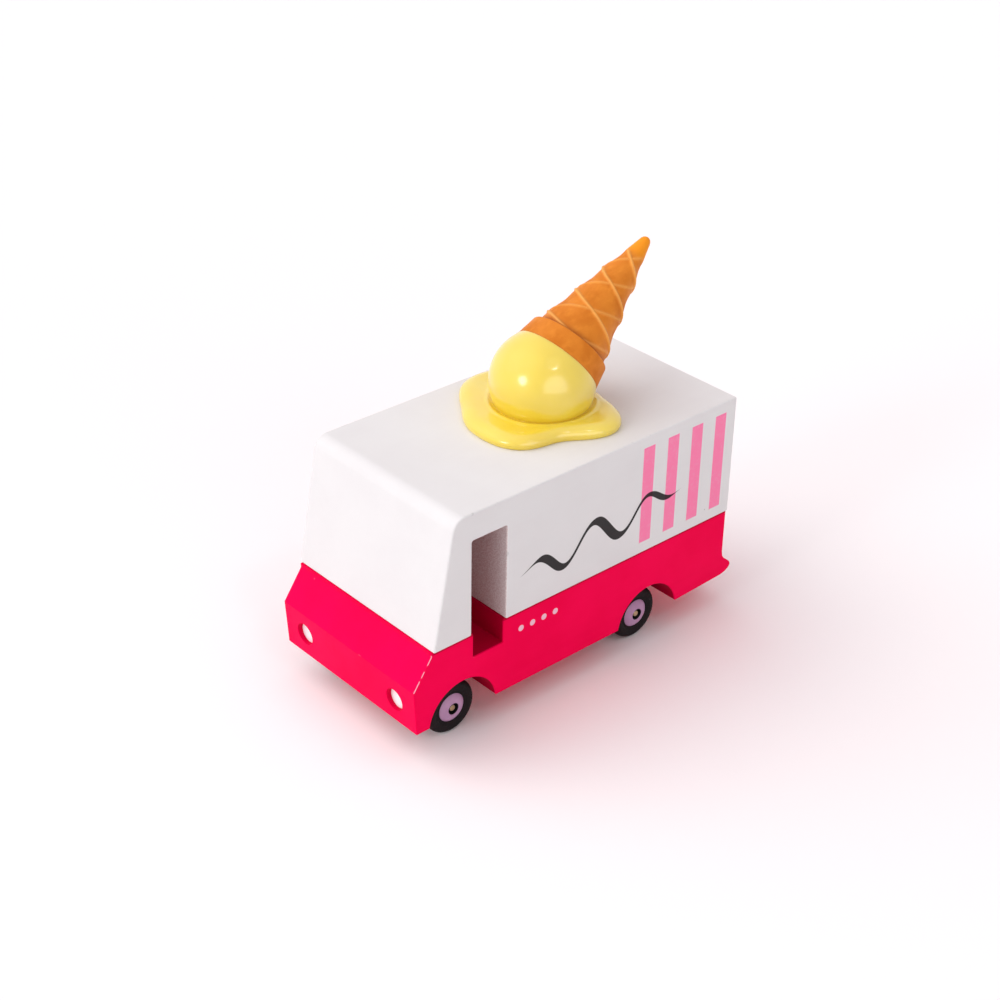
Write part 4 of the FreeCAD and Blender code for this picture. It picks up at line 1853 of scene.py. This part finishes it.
@dataclass(frozen=True)
class Studio:
    """Pale floor, soft lamps and the camera."""

    camera_at: Place = (0.21969, -0.20090, 0.20772)
    camera_from: Pair = (48.148, 30.840)
    roll: float = 0.845
    lens: float = 67.508
    film_width: float = 36.0
    sees: Pair = (0.01, 20.0)
    floor_half: float = 3.0
    floor_tones: tuple[Shade, Shade] = ((0.92, 0.905, 0.91, 1.0), (0.9, 0.885, 0.89, 1.0))
    floor_seen: Shade = (1.0, 0.962, 0.974, 1.0)
    sky: Shade = (1.0, 0.94, 0.96, 1.0)
    white: Shade = (1.0, 1.0, 1.0, 1.0)
    horizon_level: float = 0.17
    zenith_level: float = 1.0
    zenith_focus: float = 2.0
    key_level: float = 0.61
    key_from: Pair = (-50.0, 36.0)
    key_focus: float = 6.0
    suns: tuple[Sun, ...] = (
        Sun("spot", 0.18, 2.0, 20.5, 18.0), Sun("fill", 0.26, 76.0, 10.0, 50.0),
        Sun("glint", 0.03, 88.0, 54.0, 4.0),
    )

    def build(self) -> None:
        """Sets up the floor, the light and the camera."""
        self.lay_floor()
        self.light_world()
        for sun in self.suns:
            self.hang(sun)
        self.set_camera()
        bpy.context.scene.view_settings.view_transform = "Standard"

    def white_rays(self, w: Wiring) -> Term:
        """Picks out the rays that look at the backdrop, straight or through gloss or glass.

        Args:
            w: Wiring of a material or of the world.

        Returns:
            One for those rays, and nought for light.
        """
        camera, gloss, glass = (
            w.out("ShaderNodeLightPath", result=f"Is {kind} Ray")
            for kind in ("Camera", "Glossy", "Transmission")
        )
        return camera.at_least(gloss).at_least(glass)

    def lay_floor(self) -> None:
        """Lays the floor, which keeps the truck's shadow."""
        half = self.floor_half
        corners = [(x * half, y * half, 0) for x, y in ((-1, -1), (1, -1), (1, 1), (-1, 1))]
        floor = mesh_object("floor", corners, faces=[(0, 1, 2, 3)])
        paper = bpy.data.materials.new("pale_paper")
        paper.use_nodes = True
        w, sockets = Wiring(paper.node_tree), paper.node_tree.nodes["Principled BSDF"].inputs
        place = w.out("ShaderNodeTexCoord", result="Object")
        tone = w.blend(w.ramp(w.noise(place, 40, 3.0), 0.3, 0.7), *self.floor_tones)
        w.feed(sockets["Base Color"], w.blend(self.white_rays(w), tone, self.floor_seen))
        sockets["Roughness"].default_value = 0.8
        sockets["Specular IOR Level"].default_value = 0.1
        floor.data.materials.append(paper)
        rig.stage(floor)

    def light_world(self) -> None:
        """Fills the room with light, stronger overhead and round the key, and shows it white."""
        world = bpy.data.worlds.new("studio")
        world.use_nodes = True
        bpy.context.scene.world = world
        w, sockets = Wiring(world.node_tree), world.node_tree.nodes["Background"].inputs
        seen = self.white_rays(w)
        way = w.out("ShaderNodeTexCoord", result="Generated")
        height = w.math("POWER", w.split(way)[2].at_least(0.0), self.zenith_focus)
        facing = w.dot(way, bearing(*self.key_from))
        key = w.math("POWER", facing.at_least(0.0), self.key_focus)
        light = height * (self.zenith_level - self.horizon_level) + self.horizon_level
        # A lobe this narrow has to be this bright to light a face turned to it at the key's level.
        light = light + key * (self.key_level * (self.key_focus + 2) / 2)
        w.feed(sockets["Color"], w.blend(seen.at_least(key), self.sky, self.white))
        w.feed(sockets["Strength"], light + seen * (1.0 - light))

    def hang(self, sun: Sun) -> None:
        """Hangs a broad lamp.

        Args:
            sun: Where it hangs and how strong it is.
        """
        lamp = bpy.data.lights.new(sun.name, "SUN")
        lamp.energy, lamp.angle = sun.level * math.pi, math.radians(sun.width)
        item = bpy.data.objects.new(sun.name, lamp)
        item.rotation_mode = "QUATERNION"
        item.rotation_quaternion = bearing(sun.azimuth, sun.elevation).to_track_quat("Z", "Y")
        bpy.context.scene.collection.objects.link(item)

    def set_camera(self) -> None:
        """Sets up the camera."""
        lens = bpy.data.cameras.new("camera")
        lens.lens, lens.sensor_width = self.lens, self.film_width
        lens.clip_start, lens.clip_end = self.sees
        camera = bpy.data.objects.new("camera", lens)
        back, tilt = bearing(*self.camera_from), math.radians(self.roll)
        right = (-back).cross(Vector((0, 0, 1))).normalized()
        side = right * math.cos(tilt) + right.cross(-back) * math.sin(tilt)
        turn = Matrix((side, back.cross(side), back)).transposed().to_4x4()
        camera.matrix_world = Matrix.Translation(self.camera_at) @ turn
        bpy.context.scene.collection.objects.link(camera)
        bpy.context.scene.camera = camera


RUNNING_GEAR = {
    "tyre": Moulding("tyre_rubber", shade("191214"), shade("120D0F"), 0.55, 0.75, 0.15),
    "hub": Moulding("hub_lavender_plastic", shade("C096BA"), shade("B489AF"), 0.4, 0.55, 0.35),
    # The black bush sits almost flush with the hub's face, so its black also paints the shade deep in the hub's hole.
    "bush": Moulding("bush_black_plastic", shade("0B0A0C"), shade("060606"), 0.5, 0.7, 0.08),
    "pin": Moulding("pin_dull_brass", shade("CDB48F"), shade("A78F70"), 0.3, 0.5, 0.5, 0.8, 2600.0),
}


def main() -> None:
    """Builds the truck round the CAD frame and writes down both sizes."""
    logging.basicConfig(level=logging.INFO, format="%(message)s")
    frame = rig.load()
    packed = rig.bounds()
    ruler = Ruler(nose=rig.box("body_lower")[0].y)
    lathe, effects = make_lathe(), Effects.build(ruler.nose)
    shop = Workshop(ruler, effects, make_turned_row(lathe), make_waffle(lathe), frame["nodes"])
    Studio().build()
    for piece in (LowerBlock(), UpperBlock(), Headlights()):
        piece.build(shop)
    made = {kind: finish.make(effects) for kind, finish in RUNNING_GEAR.items()}
    for axle in Axle:
        Wheelset(axle).build(shop, made)
    scoop, cone = Scoop(), WaffleCone()
    scoop.build(shop, cone)
    cone.build(shop, scoop)
    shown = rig.bounds()
    with open(SIZE_FILE, "w") as file:
        json.dump({"cad": [list(v) for v in packed], "visual": [list(v) for v in shown]}, file)
    boxes = ([tuple(round(c / MM, 3) for c in v) for v in box] for box in (packed, shown))
    LOG.info("CAD box %s, visual box %s", *boxes)


if __name__ == "__main__":
    main()
